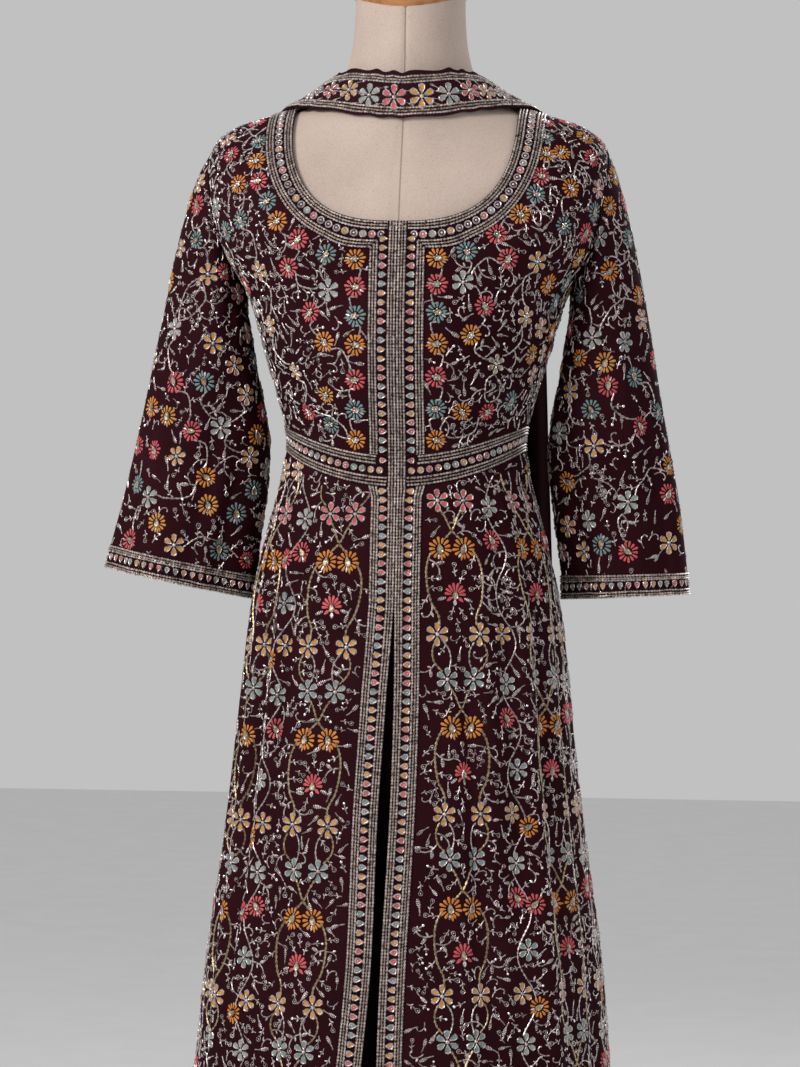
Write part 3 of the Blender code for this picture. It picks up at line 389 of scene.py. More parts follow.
def on_tunic(x, z, side):
    """Angle and level of the tunic's point seen at x and z from the front (side 1) or the back (side -1)."""
    angle = np.arcsin(np.clip(x / GUESS_HALF_WIDTH, 0, 0.98))
    level = np.interp(-z, -np.array(GUESS_HEIGHTS), GUESS_LEVELS)
    step = 1e-4

    def seen(a, b):
        return ring_points(TUNIC_RINGS, a if side > 0 else math.pi - a, b)[..., [0, 2]]

    for _ in range(40):
        here = seen(angle, level)
        by_angle = (seen(angle + step, level) - here) / step
        by_level = (seen(angle, level + step) - here) / step
        miss = here - np.stack([x, z], axis=-1)
        size = by_angle[..., 0] * by_level[..., 1] - by_angle[..., 1] * by_level[..., 0]
        size = np.where(np.abs(size) < 1e-7, 1e-7, size)
        turn = (miss[..., 0] * by_level[..., 1] - miss[..., 1] * by_level[..., 0]) / size
        drop = (miss[..., 1] * by_angle[..., 0] - miss[..., 0] * by_angle[..., 1]) / size
        angle = np.clip(angle - np.clip(turn, -0.15, 0.15), 0, math.pi / 2)
        level = np.clip(level - np.clip(drop, -0.6, 0.6), 3.5, 17)
    return angle, level


def beside_neckline(depth, rows, width):
    """Half of the neckline moved out by width, from the shoulder to the middle, with a corner there."""
    turn = np.linspace(0, math.pi / 2, 400)
    x = NECK_HALF_WIDTH * np.cos(turn) ** (2 / NECK_SQUARENESS)
    z = NECK_TOP_Z - depth * np.sin(turn) ** (2 / NECK_SQUARENESS)
    length = np.concatenate([[0], np.cumsum(np.hypot(np.diff(x), np.diff(z)))])
    place = np.linspace(0, 1, rows + 1) ** NECK_ROW_SPREAD * length[-1]
    step = 1e-3
    x_even = np.interp(place, length, x)
    near = np.interp(place + step, length, x) - np.interp(place - step, length, x)
    fall = np.interp(place + step, length, z) - np.interp(place - step, length, z)
    moved_x = x_even - width * fall / np.hypot(near, fall)
    moved_z = np.interp(place, length, z) + width * near / np.hypot(near, fall)
    reach = 2.2 * BORDER_WIDTH
    at_reach = np.interp(reach, x_even[::-1], moved_x[::-1])
    corner_x = width + np.clip(x_even / reach, 0, 1) * (at_reach - width)
    return np.where(x_even < reach, corner_x, moved_x), moved_z


def waist_height(angle, side_z, dip):
    return side_z - dip * np.where(np.cos(angle) > 0, np.cos(angle), 0) ** 2


def bodice_quarter(side):
    """Angles and levels of a quarter of the bodice at +X: rows from shoulder to waist, columns outward."""
    front = side > 0
    depth = FRONT_NECK_DEPTH if front else BACK_NECK_DEPTH
    dip = WAIST_TOP_DIP if front else 0.0
    angle = np.zeros((NECK_ROWS + FRONT_ROWS + 1, BORDER_COLUMNS + PANEL_COLUMNS + 1))
    level = np.zeros_like(angle)
    ridge_levels = np.linspace(4, 9, 200)
    ridge = smooth(TUNIC_RINGS, ridge_levels)
    for column in range(BORDER_COLUMNS + 1):
        width = BORDER_WIDTH * column / BORDER_COLUMNS
        x, z = beside_neckline(depth, NECK_ROWS, width)
        slope = np.maximum(NECK_TOP_Z - np.interp(x, ridge[:, 3], ridge[:, 1]), 0.0)
        z = z - slope * np.clip(1 - (NECK_TOP_Z - z) / depth, 0, 1)
        down = np.linspace(z[-1], waist_height(0.0, WAIST_TOP_Z, dip), FRONT_ROWS + 1)[1:]
        found = on_tunic(np.append(x[1:], np.full(FRONT_ROWS, width)), np.append(z[1:], down), side)
        angle[1:, column], level[1:, column] = found
        angle[0, column] = math.pi / 2
        level[0, column] = np.interp(NECK_HALF_WIDTH + width, ridge[:, 3], ridge_levels)
    around = np.linspace(0, 1, NECK_ROWS + 1) ** ARMHOLE_ROW_SPREAD
    cut = FRONT_ARMHOLE_CUT if front else BACK_ARMHOLE_CUT
    angle[:, -1] = math.pi / 2
    angle[: NECK_ROWS + 1, -1] -= cut * np.sin(math.pi * around) ** 0.8
    level[: NECK_ROWS + 1, -1] = SHOULDER_TIP_LEVEL + around * (UNDERARM_LEVEL - SHOULDER_TIP_LEVEL)
    level[NECK_ROWS:, -1] = np.linspace(UNDERARM_LEVEL, level_at(WAIST_TOP_Z), FRONT_ROWS + 1)
    share = np.linspace(0, 1, PANEL_COLUMNS + 1)
    for grid in (angle, level):
        edge = grid[:, BORDER_COLUMNS : BORDER_COLUMNS + 1]
        grid[:, BORDER_COLUMNS:] = edge + share * (grid[:, -1:] - edge)
    level[-1] = level_at(waist_height(angle[-1], WAIST_TOP_Z, dip))
    return (angle, level) if front else (math.pi - angle, level)


def skirt_quarter(hand, side, waist_angles):
    """Angles and levels of a quarter of the skirt, from the waistband to the hem."""
    around = np.abs(waist_angles)
    top_z = waist_height(around, WAIST_BOTTOM_Z, WAIST_BOTTOM_DIP if side > 0 else 0.0)
    share = np.linspace(0, 1, SKIRT_ROWS + 1)[:, None] ** SKIRT_ROW_SPREAD
    z = top_z + share * (SKIRT_HEM_Z - top_z)
    angle = np.tile(around, (SKIRT_ROWS + 1, 1))
    if side > 0:
        slit = by_height(SLIT, z[:, 0])
        edge_x = np.clip((SLIT_TOP_Z - z[:, 0]) / SLIT_OPENING, 0, 1) * (slit[:, 1] * hand + slit[:, 2] / 2)
        width = ring_points(TUNIC_RINGS, 0.02, level_at(z[:, 0]))[:, 0] / 0.02
        offset = np.arange(BORDER_COLUMNS + 1) * SLIT_BORDER_WIDTH / BORDER_COLUMNS
        angle[:, : BORDER_COLUMNS + 1] = (edge_x[:, None] + offset) / width[:, None]
        edge = angle[:, BORDER_COLUMNS : BORDER_COLUMNS + 1]
        opened = np.clip(share * 12, 0, 1)
        spread = edge + np.linspace(0, 1, PANEL_COLUMNS + 1) * (math.pi / 2 - edge)
        angle[:, BORDER_COLUMNS:] = angle[:, BORDER_COLUMNS:] * (1 - opened) + spread * opened
        angle[0] = around
    return hand * angle, level_at(z)


def normals_of(points, tube=False):
    """Unit normals of a grid of points, facing away from the form's axis or from a tube's middle line."""
    around = np.roll(points, -1, axis=1) - np.roll(points, 1, axis=1) if tube else np.gradient(points, axis=1)
    normals = unit(np.cross(np.gradient(points, axis=0), around))
    middle = points.mean(axis=1, keepdims=True) if tube else points * [0, 0, 1]
    outside = np.sum(normals * (points - middle), axis=-1).mean() > 0
    return normals if outside else -normals


def armhole(front, back, hand):
    """Points round the armhole: down its front from the shoulder tip, and up its back."""
    side = np.s_[: NECK_ROWS + 1, -1]
    ahead, behind = (tunic_surface(hand * angle[side], level[side]) for angle, level in (front, back))
    return np.concatenate([ahead, behind[-2:0:-1]])


def sleeve_rings(table, folds, start, hand):
    """Rings of a sleeve: ring, point, xyz. The first ring is the armhole."""
    turn = turns(len(start))
    fold = 0.0
    for place in folds:
        away = turned_from(np.degrees(turn), place.turn)
        fold = fold + place.depth * bell(away, place.spread, FOLD_SHARPNESS)
    rings = []
    for index, row in enumerate(smooth(table, np.linspace(0, len(table) - 1, SLEEVE_ROWS + 1))):
        outer_x, outer_z, inner_x, inner_z, half_depth, middle_y = row
        outer = np.array([hand * outer_x, middle_y, outer_z])
        inner = np.array([hand * inner_x, middle_y, inner_z])
        spoke = np.cos(turn)[:, None] * (outer - inner) / 2 + np.sin(turn)[:, None] * [0.0, -half_depth, 0.0]
        share = index / SLEEVE_ROWS
        oval = (outer + inner) / 2 + spoke + unit(spoke) * (fold * share**1.2)[:, None]
        if not rings:
            first = start - oval
        rings.append(oval + first * max(0.0, 1 - share * (len(table) - 1) / ARMHOLE_BLEND) ** 2)
    return np.array(rings)


def leg_ring(z, outer, front, back, inner, hand, side, share, fall):
    """Half of a leg's ring, from the inseam round the front or the back to the side seam."""
    near = INSEAM_X + hand * LEG_GAP / 2 + inner * (1.0 if hand > 0 else 0.2)
    far = hand * outer
    turn = -math.pi / 2 + share * math.pi
    wave = LEG_WAVE_DEPTH * fall * np.sin(share * math.pi * LEG_WAVES) * np.sin(share * math.pi)
    depth = wave + (front if side > 0 else back)
    x = (near + far) / 2 + (far - near) / 2 * np.sin(turn)
    return np.stack([x, -side * depth * np.cos(turn), np.full_like(x, z)], axis=-1)


def leg_quarter(hand, side, share):
    """Points of one panel of the trousers, from waist to hem: columns from the inner edge to the side."""
    rows = []
    for z in [PALAZZO_WAIST_Z - PALAZZO_BAND] + [ring.side_z for ring in FORM_HIPS[2:-1]] + [CROTCH_TOP_Z]:
        level = np.full(share.shape, float(near_level(NECK_AND_CHEST + FORM_HIPS, z)))
        start = hand * math.asin(INSEAM_X / form_surface(math.pi / 2, level[0])[0])
        turn = start + share * (math.pi / 2 - start)
        around = hand * (turn if side > 0 else math.pi - turn)
        ease = PALAZZO_EASE if rows else PALAZZO_BAND_EASE
        rows.append(form_surface(around, level) + outward(form_surface, around, level) * ease)
    last = rows[-1]
    first_leg = leg_ring(*LEG[0], hand, side, share, 0.0)
    for blend, z in LEG_BLENDS:
        rows.append((last + blend * (first_leg - last)) * [1, 1, 0] + [0, 0, z])
    for index, ring in enumerate(LEG):
        rows.append(leg_ring(*ring, hand, side, share, index / (len(LEG) - 1)))
    rows = np.array(rows)
    place = np.linspace(0, len(rows) - 1, LEG_ROWS + 1)
    start = np.minimum(place.astype(int), len(rows) - 2)
    part = (place - start)[:, None, None]
    return rows[start] * (1 - part) + rows[start + 1] * part


def scarf_edge(table, mirror, first_column):
    angle, level, lift = table[:, first_column : first_column + 3].T
    angle = np.radians(angle) * mirror
    return form_surface(angle, level) + outward(form_surface, angle, level) * lift[:, None]


def scarf_neck_points(rows, columns):
    """The scarf's stretch across the throat, from behind the left shoulder to behind the right one."""
    fine = smooth(SCARF_NECK, np.linspace(0, len(SCARF_NECK) - 1, rows))
    share = np.linspace(0, 1, columns)[None, :, None]
    sheets = []
    for mirror in (-1, 1):
        top, low = (scarf_edge(fine, mirror, first)[:, None] for first in (0, 3))
        sheets.append(top + share * (low - top))
    return np.concatenate([sheets[0][:0:-1], sheets[1]])


def tail_points(hand, start, rows, columns):
    """A tail of the scarf, in pleats: its first row is the end of the stretch across the throat."""
    share = np.linspace(0, 1, columns)
    coarse = [start[0] + share[:, None] * (start[-1] - start[0])]
    for row in TAIL:
        x = hand * (row.x + (share - 0.5) * row.width)
        y = row.y + row.pleat * np.cos(share * 2 * math.pi * TAIL_PLEATS)
        coarse.append(np.stack([x, y, np.full_like(x, row.z)], axis=-1))
    return smooth(coarse, np.linspace(0, len(coarse) - 1, rows))


# Creases of the bodice, on its front and, mirrored through, on its back: from x, z to x, z, half width and
# height (out is positive), and how far the middle of the crease bows out sideways
Crease = namedtuple("Crease", "x z to_x to_z spread height bow")
BODICE_CREASES = table(Crease, [
    (-116, 1128, -52, 1096, 5, 2.2, 4), (-112, 1112, -46, 1088, 4.5, -1.6, 3),
    (-118, 1152, -60, 1106, 5.5, -1.8, 6), (-114, 1172, -72, 1118, 6, 2.4, 5),
    (-124, 1205, -90, 1140, 6, -1.8, 4), (114, 1124, 48, 1098, 5, 2.4, -3),
    (117, 1140, 60, 1102, 4.5, -1.8, -4), (112, 1160, 70, 1112, 6, 2, -6),
    (122, 1190, 84, 1132, 5.5, -1.7, -4), (128, 1212, 100, 1160, 6, 2, -3),
    (-150, 1262, -112, 1226, 7, -1.8, 4), (-146, 1288, -104, 1250, 8, 2, 5),
    (151, 1258, 108, 1230, 7, -1.9, -5), (147, 1284, 100, 1256, 8, 1.8, -4),
])
# Gathers where the skirt is sewn to the waistband: angle from the front, half width in degrees, height and
# length
Gather = namedtuple("Gather", "angle spread height length")
GATHERS = table(Gather, [
    (22, 1.8, 1.6, 50), (29, 2, -1.2, 62), (36, 2.1, 2.4, 82), (43, 1.9, -1.8, 70), (49, 2, 2.8, 94),
    (56, 2, -2, 74), (62, 2.2, 2.6, 86), (70, 2.2, -1.9, 66), (77, 2.3, 2.4, 78), (84, 2.3, -1.6, 60),
    (-20, 1.9, 1.5, 46), (-27, 2, -1.3, 66), (-33, 2, 2.2, 76), (-40, 2, -1.9, 84), (-47, 2.1, 2.9, 88),
    (-54, 1.9, -1.8, 68), (-60, 2.1, 2.4, 96), (-67, 2.2, -2, 72), (-75, 2.4, 2.6, 80),
    (-83, 2.2, -1.5, 58), (98, 2.4, 2.2, 70), (108, 2.6, -1.6, 64), (118, 2.4, 2.5, 84),
    (129, 2.6, -1.8, 72), (140, 2.5, 2.2, 78), (152, 2.6, 1.6, 56), (-97, 2.4, 2.3, 74),
    (-107, 2.5, -1.7, 62), (-119, 2.6, 2.4, 88), (-130, 2.4, -1.8, 68), (-142, 2.6, 2, 80),
    (-155, 2.6, 1.6, 54),
], "angle spread")
# Long soft creases of sleeves and skirt: degrees round the piece at their top and their end, share of its
# length at both, half width in degrees, height
LongCrease = namedtuple("LongCrease", "turn to_turn along to_along spread height")
LONG_CREASES = {
    "skirt": table(LongCrease, [
        (-38, -42, 0.04, 0.32, 2.3, -5), (-44, -47, 0.02, 0.46, 2.5, 4.4),
        (-52, -54, 0.03, 0.58, 2.6, -5.5), (-61, -58, 0.02, 0.7, 3, 5), (-31, -35, 0.26, 0.76, 2.4, -3.6),
        (-67, -65, 0.1, 0.84, 2.8, -4.6), (-76, -74, 0.05, 0.99, 3.2, 4.2), (25, 28, 0.12, 0.56, 2.2, -5),
        (33, 35, 0.04, 0.66, 2.6, 4.8), (41, 42, 0.02, 0.44, 2.4, -4.4), (50, 50, 0.03, 0.8, 3, 5),
        (58, 57, 0.02, 0.6, 2.6, -5.6), (68, 67, 0.08, 0.86, 3, 4.4), (77, 75, 0.04, 0.99, 3, -4),
        (97, 100, 0.05, 0.74, 3, 4.4), (112, 110, 0.02, 0.99, 3.2, -4.8), (126, 129, 0.04, 0.6, 3, 5),
        (143, 140, 0.1, 0.99, 3.4, -4.2), (160, 162, 0.03, 0.66, 3, 4), (181, 178, 0.06, 0.99, 3.2, -4.6),
        (196, 199, 0.02, 0.54, 3, 4.6), (213, 211, 0.08, 0.99, 3.4, -4.4), (229, 232, 0.03, 0.7, 3, 5),
        (246, 244, 0.05, 0.99, 3.2, -4.8), (262, 259, 0.1, 0.78, 3, 4),
    ], "turn to_turn along to_along spread"),
    "left": table(LongCrease, [
        (170, 132, 0.02, 0.22, 9, 3), (160, 112, 0.06, 0.3, 8, -2.6), (148, 96, 0.02, 0.26, 9, 2.6),
        (150, 120, 0.3, 0.55, 9, 2.2), (74, 62, 0.18, 0.72, 8, -2.2), (58, 50, 0.3, 0.98, 7, 2.4),
        (104, 98, 0.4, 0.98, 8, -2.4), (118, 112, 0.5, 0.98, 7, 2.6), (24, 20, 0.55, 0.98, 7, -2),
        (190, 232, 0.02, 0.26, 9, 2.8), (204, 250, 0.06, 0.34, 9, -2.4), (262, 258, 0.35, 0.98, 9, 2.4),
        (318, 326, 0.45, 0.98, 8, -2),
    ], "turn to_turn along to_along spread"),
    "right": table(LongCrease, [
        (172, 128, 0.02, 0.24, 9, 2.8), (158, 108, 0.04, 0.28, 8, -2.4), (146, 90, 0.03, 0.3, 9, 3),
        (152, 118, 0.34, 0.6, 9, -2.2), (68, 60, 0.22, 0.8, 8, 2.4), (46, 42, 0.38, 0.98, 7, -2.2),
        (88, 84, 0.42, 0.98, 7, -2), (108, 112, 0.46, 0.98, 8, 2.6), (130, 126, 0.55, 0.98, 7, -2.2),
        (188, 236, 0.02, 0.28, 9, 2.8), (206, 252, 0.05, 0.36, 9, -2.2), (272, 266, 0.38, 0.98, 9, 2.2),
        (322, 330, 0.48, 0.98, 8, -2.2),
    ], "turn to_turn along to_along spread"),
}


def crease_lift(x, z):
    """How far the bodice's creases stand out at x, z."""
    total = 0.0
    for crease in BODICE_CREASES:
        run_x = crease.to_x - crease.x
        run_z = crease.to_z - crease.z
        length = math.hypot(run_x, run_z)
        along = ((x - crease.x) * run_x + (z - crease.z) * run_z) / length**2
        across = ((x - crease.x) * run_z - (z - crease.z) * run_x) / length
        inside = np.sin(math.pi * np.clip(along, 0, 1))
        total += crease.height * inside**0.8 * bell(across + crease.bow * inside, crease.spread)
    return total


def gather_lift(angle, below):
    """How far the gathers stand out at this angle, this far below the waistband."""
    total = 0.0
    for gather in GATHERS:
        away = turned_from(np.degrees(angle), gather.angle)
        fade = np.clip(1 - below / gather.length, 0, 1) ** 0.8 * np.clip(below / 0.006, 0.25, 1)
        total += gather.height * fade * bell(away, gather.spread * (1 + 1.1 * below / gather.length))
    return total


def long_crease_lift(name, turn, place):
    """How far a piece's long creases stand out, for a grid of places round and along it."""
    total = 0.0
    for crease in LONG_CREASES[name]:
        share = (place - crease.along) / (crease.to_along - crease.along)
        middle = crease.turn + np.clip(share, 0, 1) * (crease.to_turn - crease.turn)
        away = turned_from(np.degrees(turn), middle)
        opening = np.clip(share * 4, 0, 1) * np.clip((1 - share) * (4 if crease.to_along < 0.9 else 60), 0, 1)
        total += crease.height * opening * bell(away, crease.spread)
    return total


# Finishes


def shader_of(name):
    """A new material with its Principled shader."""
    made = bpy.data.materials.new(name)
    made.use_nodes = True
    return made, made.node_tree.nodes["Principled BSDF"]


def set_inputs(tree, node, inputs):
    """Sets a node's inputs to values, or links them from other nodes' outputs."""
    for key, value in inputs.items():
        if isinstance(value, bpy.types.NodeSocket):
            tree.links.new(value, node.inputs[key])
        else:
            node.inputs[key].default_value = value


def add_node(tree, kind, inputs=(), **settings):
    made = tree.nodes.new(kind)
    made.location = (200 * len(tree.nodes) - 2400, 0)
    for key, value in settings.items():
        setattr(made, key, value)
    set_inputs(tree, made, dict(inputs))
    return made


def add_ramp(tree, value, low, dark, high, light):
    """A colour that goes from dark where the value is low to light where it is high."""
    made = add_node(tree, "ShaderNodeValToRGB", {"Fac": value})
    for stop, place, colour in zip(made.color_ramp.elements, (low, high), (dark, light)):
        stop.position = place
        stop.color = (*colour, 1.0)
    return made.outputs["Color"]


def grain_group():
    """Shared effect: a fine thread grain and a broad unevenness, each from its scale."""
    group = bpy.data.node_groups.new("thread_grain", "ShaderNodeTree")
    inlet = add_node(group, "NodeGroupInput")
    outlet = add_node(group, "NodeGroupOutput")
    where = add_node(group, "ShaderNodeTexCoord").outputs["Object"]
    for name, detail, roughness in (("Grain", 2.0, 0.6), ("Unevenness", 3.0, 0.5)):
        group.interface.new_socket(f"{name} Scale", in_out="INPUT", socket_type="NodeSocketFloat")
        group.interface.new_socket(name, in_out="OUTPUT", socket_type="NodeSocketFloat")
        noise = add_node(group, "ShaderNodeTexNoise", {
            "Vector": where, "Scale": inlet.outputs[f"{name} Scale"],
            "Detail": detail, "Roughness": roughness,
        })
        group.links.new(noise.outputs["Fac"], outlet.inputs[name])
    return group


def bumped(tree, strength, depth, height):
    """Normals that stand up by this depth in metres where height is large."""
    return add_node(tree, "ShaderNodeBump", {
        "Strength": strength, "Distance": depth, "Height": height,
    }).outputs["Normal"]


def grained(name, dark, light, roughness, fine, depth, broad=9.0, metallic=0.0, gloss=0.5, low=0.3, high=0.7):
    """A material whose colour wanders from dark to light, with a surface grain of this depth in metres."""
    made, shader = shader_of(name)
    tree = made.node_tree
    grain = add_node(tree, "ShaderNodeGroup", node_tree=GRAIN)
    set_inputs(tree, grain, {"Grain Scale": fine, "Unevenness Scale": broad})
    height = grain.outputs["Grain"]
    mixed = add_node(tree, "ShaderNodeMath", {0: height, 1: grain.outputs["Unevenness"]}, operation="ADD")
    halved = add_node(tree, "ShaderNodeMath", {0: mixed.outputs[0], 1: 0.5}, operation="MULTIPLY")
    set_inputs(tree, shader, {
        "Normal": bumped(tree, 0.6, depth, height),
        "Base Color": add_ramp(tree, halved.outputs[0], low, dark, high, light),
        "Roughness": roughness, "Metallic": metallic, "Specular IOR Level": gloss,
    })
    return made


def linen_finish():
    """Linen drawn tight: a plain weave with fine dark specks, and painted shade darkening the groove of the
    sewn seam down its front.
    """
    made = grained("linen", (0.39, 0.305, 0.262), (0.565, 0.455, 0.392), 0.9, 900.0, 0.0003, 14.0, gloss=0.2)
    tree = made.node_tree
    base = tree.nodes["Principled BSDF"].inputs["Base Color"]
    colour = base.links[0].from_socket
    where = add_node(tree, "ShaderNodeTexCoord").outputs["Object"]
    specks = add_node(tree, "ShaderNodeTexNoise", {"Vector": where, "Scale": 1000.0, "Detail": 0.0})
    split = add_node(tree, "ShaderNodeSeparateXYZ", {"Vector": where})
    aside = add_node(tree, "ShaderNodeMath", {0: split.outputs["X"]}, operation="ABSOLUTE")
    # Painted shade: the colour is multiplied down to 0.45 in the groove of the front seam, where shade falls
    seam_shade = add_node(tree, "ShaderNodeMapRange", {
        "Value": aside.outputs[0], "From Max": FORM_SEAM_WIDTH, "To Min": 0.45,
    })
    speckled = add_ramp(tree, specks.outputs["Fac"], 0.16, (0.55, 0.49, 0.46), 0.26, (1.0, 1.0, 1.0))
    for shade in (speckled, seam_shade.outputs["Result"]):
        mixed = add_node(tree, "ShaderNodeMix", data_type="RGBA", blend_type="MULTIPLY")
        set_inputs(tree, mixed, {"Factor": 1.0, "A": colour, "B": shade})
        colour = mixed.outputs["Result"]
    tree.links.new(colour, base)
    return made


def wood_finish():
    """Beech with long grain, oiled."""
    made, shader = shader_of("beech")
    tree = made.node_tree
    where = add_node(tree, "ShaderNodeTexCoord").outputs["Object"]
    stretched = add_node(tree, "ShaderNodeMapping", {"Vector": where, "Scale": (12.0, 120.0, 90.0)})
    rings = add_node(tree, "ShaderNodeTexNoise", {
        "Vector": stretched.outputs["Vector"], "Scale": 2.2, "Detail": 5.0,
    }).outputs["Fac"]
    set_inputs(tree, shader, {
        "Normal": bumped(tree, 0.4, 0.0003, rings),
        "Base Color": add_ramp(tree, rings, 0.35, (0.3, 0.115, 0.038), 0.65, (0.47, 0.2, 0.075)),
        "Roughness": 0.38,
    })
    return made


def georgette(kind, dark, light, roughness=0.75, gloss=0.035):
    return grained(f"{kind}_georgette", dark, light, roughness, 1100.0, 0.0005, gloss=gloss)


def silk(name, dark, light):
    """Stranded silk, dull enough to keep its colour."""
    return grained(f"silk_{name}", dark, light, 0.5, 1800.0, 0.0006, 70.0, gloss=0.35)


def metal_thread(name, dark, light):
    """Zari: the metal's own colour, broken into bright and dark spots close together that are painted glints
    and painted shade of the strip wound round the thread.
    """
    return grained(f"zari_{name}", dark, light, 0.36, 620.0, 0.0008, 300.0, metallic=0.7, low=0.37, high=0.57)


GRAIN = grain_group()
# Finishes of the record's material slots
FINISH = {
    "embroidered_cloth": georgette("embroidered", (0.011, 0.0016, 0.0029), (0.029, 0.0052, 0.0088)),
    "zari_border": georgette("border", (0.008, 0.0012, 0.0021), (0.0205, 0.0038, 0.0062)),
    "palazzo_cloth": georgette("plain", (0.011, 0.0016, 0.0034), (0.027, 0.005, 0.0095), 0.72, 0.05),
    "scarf_cloth": georgette("scarf", (0.012, 0.0018, 0.0032), (0.031, 0.0058, 0.0095), 0.7, 0.06),
    "linen": linen_finish(),
    "wood": wood_finish(),
    "steel": grained("brushed_steel", (0.42, 0.42, 0.43), (0.62, 0.62, 0.63), 0.32, 900, 0.0001, metallic=1),
    "base": grained("painted_base", (0.02, 0.018, 0.017), (0.036, 0.032, 0.03), 0.45, 600.0, 0.0002),
}
# Threads of the embroidery
THREADS = {
    "silver": metal_thread("silver", (0.1, 0.08, 0.078), (0.66, 0.58, 0.56)),
    "gold": metal_thread("gold", (0.12, 0.085, 0.048), (0.5, 0.39, 0.24)),
    "cord": metal_thread("cord", (0.066, 0.048, 0.045), (0.96, 0.86, 0.83)),
    "antique": metal_thread("antique_gold", (0.048, 0.036, 0.032), (0.64, 0.54, 0.46)),
    "coral": silk("coral", (0.33, 0.034, 0.043), (0.64, 0.115, 0.12)),
    "mustard": silk("mustard", (0.32, 0.125, 0.017), (0.66, 0.325, 0.066)),
    "orange": silk("orange", (0.35, 0.1, 0.012), (0.68, 0.26, 0.034)),
    "teal": silk("teal", (0.07, 0.125, 0.13), (0.2, 0.315, 0.31)),
    "blue": silk("silver_blue", (0.13, 0.17, 0.172), (0.33, 0.395, 0.385)),
    "sequin": grained("sequin", (0.8, 0.78, 0.8), (0.95, 0.94, 0.95), 0.14, 500.0, 0.0001, metallic=0.9),
    "dark": silk("dark_plum", (0.012, 0.002, 0.006), (0.03, 0.006, 0.014)),
}


# Building of shells


def grid_faces(rows, columns, wrap=False):
    """Quads of a grid of points stored row by row."""
    faces = []
    for row in range(rows - 1):
        for column in range(columns if wrap else columns - 1):
            here = row * columns + column
            beside = row * columns + (column + 1) % columns
            faces.append((here, beside, beside + columns, here + columns))
    return faces


def mesh_object(name, points, faces, finishes, sharp=50.0):
    mesh = bpy.data.meshes.new(name)
    mesh.from_pydata(np.asarray(points).tolist(), [], faces)
    mesh.validate()
    mesh.shade_smooth()
    mesh.set_sharp_from_angle(angle=math.radians(sharp))
    for finish in finishes:
        mesh.materials.append(finish)
    placed = bpy.data.objects.new(name, mesh)
    bpy.context.scene.collection.objects.link(placed)
    return placed


def placed_solid(name, points, faces, slot, node):
    """A mesh that takes the place of one of the frame's nodes."""
    made = mesh_object(name, points, faces, [FINISH[slot]])
    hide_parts(node)
    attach(made, BODY)
    return made


class Grid:
    """Points row by row, read between them too; a wrapped grid closes on itself from column to column."""

    def __init__(self, grid, wrap=False):
        self.grid = grid
        self.wrap = wrap

    def at(self, row, column):
        """Points at fractional rows and columns."""
        grid = self.grid
        row = np.clip(np.asarray(row, float), 0, grid.shape[0] - 1.000001)
        column = np.asarray(column, float)
        column = column % grid.shape[1] if self.wrap else np.clip(column, 0, grid.shape[1] - 1.000001)
        low_row = row.astype(int)
        low_column = column.astype(int)
        next_column = (low_column + 1) % grid.shape[1]
        down = (row - low_row)[..., None]
        across = (column - low_column)[..., None]
        upper = grid[low_row, low_column] * (1 - across) + grid[low_row, next_column] * across
        lower = grid[low_row + 1, low_column] * (1 - across) + grid[low_row + 1, next_column] * across
        return upper * (1 - down) + lower * down

    def down(self, share):
        """Points down the grid, at this share of its width."""
        rows = np.arange(len(self.grid))
        return self.at(rows, np.full(len(rows), share * (self.grid.shape[1] - 1)))

    def across(self, row):
        """Points along a row, one for each column."""
        columns = np.arange(self.grid.shape[1] + (1 if self.wrap else 0))
        return self.at(np.full(len(columns), row), columns)


class Cloth(Grid):
    """A thin closed shell of cloth: its outer side as a grid, and as a tree onto which things are sewn."""

    def __init__(self, name, points, normals, slot, wall=WALL, wrap=False, lift=0.0):
        super().__init__(points + normals * lift, wrap)
        faces = grid_faces(*points.shape[:2], wrap)
        self.close(name, self.grid.reshape(-1, 3), normals.reshape(-1, 3), faces, slot, wall)

    def close(self, name, outer, facing, faces, slot, wall):
        """Makes the object from its outer side, its inner side and its rim, and lists it among the cloths."""
        middle = faces[len(faces) // 2]
        first, second, third = outer[list(middle[:3])]
        if np.dot(np.cross(second - first, third - second), facing[middle[0]]) < 0:
            faces = [face[::-1] for face in faces]
        count = len(outer)
        edges = set()
        for face in faces:
            edges.update(zip(face, face[1:] + face[:1]))
        rim = [(end, start, start + count, end + count) for start, end in edges if (end, start) not in edges]
        inside = [tuple(index + count for index in reversed(face)) for face in faces]
        points = np.concatenate([outer, outer - facing * wall])
        self.sewn = []
        self.object = placed_solid(f"{name}_cloth", points, faces + inside + rim, slot, name)
        self.tree = BVHTree.FromPolygons([tuple(point) for point in outer], faces)
        CLOTHS[name] = self


def edge_gap(points, sides):
    """A grid of points whose named edges are drawn back by half a seam."""
    drawn = points.copy()
    for side in sides.split():
        down = side in ("top", "bottom")
        edge, beside = (0, 1) if side in ("top", "first") else (-1, -2)
        edge, beside = (edge, beside) if down else (np.s_[:, edge], np.s_[:, beside])
        drawn[edge] += unit(points[beside] - points[edge]) * SEAM / 2
    return drawn


def panel(name, points, gaps, slot="embroidered_cloth", wall=WALL):
    """A cloth over a grid of points, with gaps at the seams named; returns its points and normals."""
    normals = normals_of(points)
    points = edge_gap(points, gaps)
    Cloth(name, points, normals, slot, wall)
    return points, normals


def trim(name, points, normals, part, wrap=False):
    """A thin border on part of a cloth."""
    Cloth(name, points[part], normals[part], "zari_border", TRIM_WALL, wrap, TRIM_LIFT)


def bodice_points(angle, level):
    """The bodice's outer side over a grid of angles and levels, creases included."""
    points = tunic_surface(angle, level)
    lift = crease_lift(points[..., 0], points[..., 2])
    return points + outward(tunic_surface, angle, level) * lift[..., None]


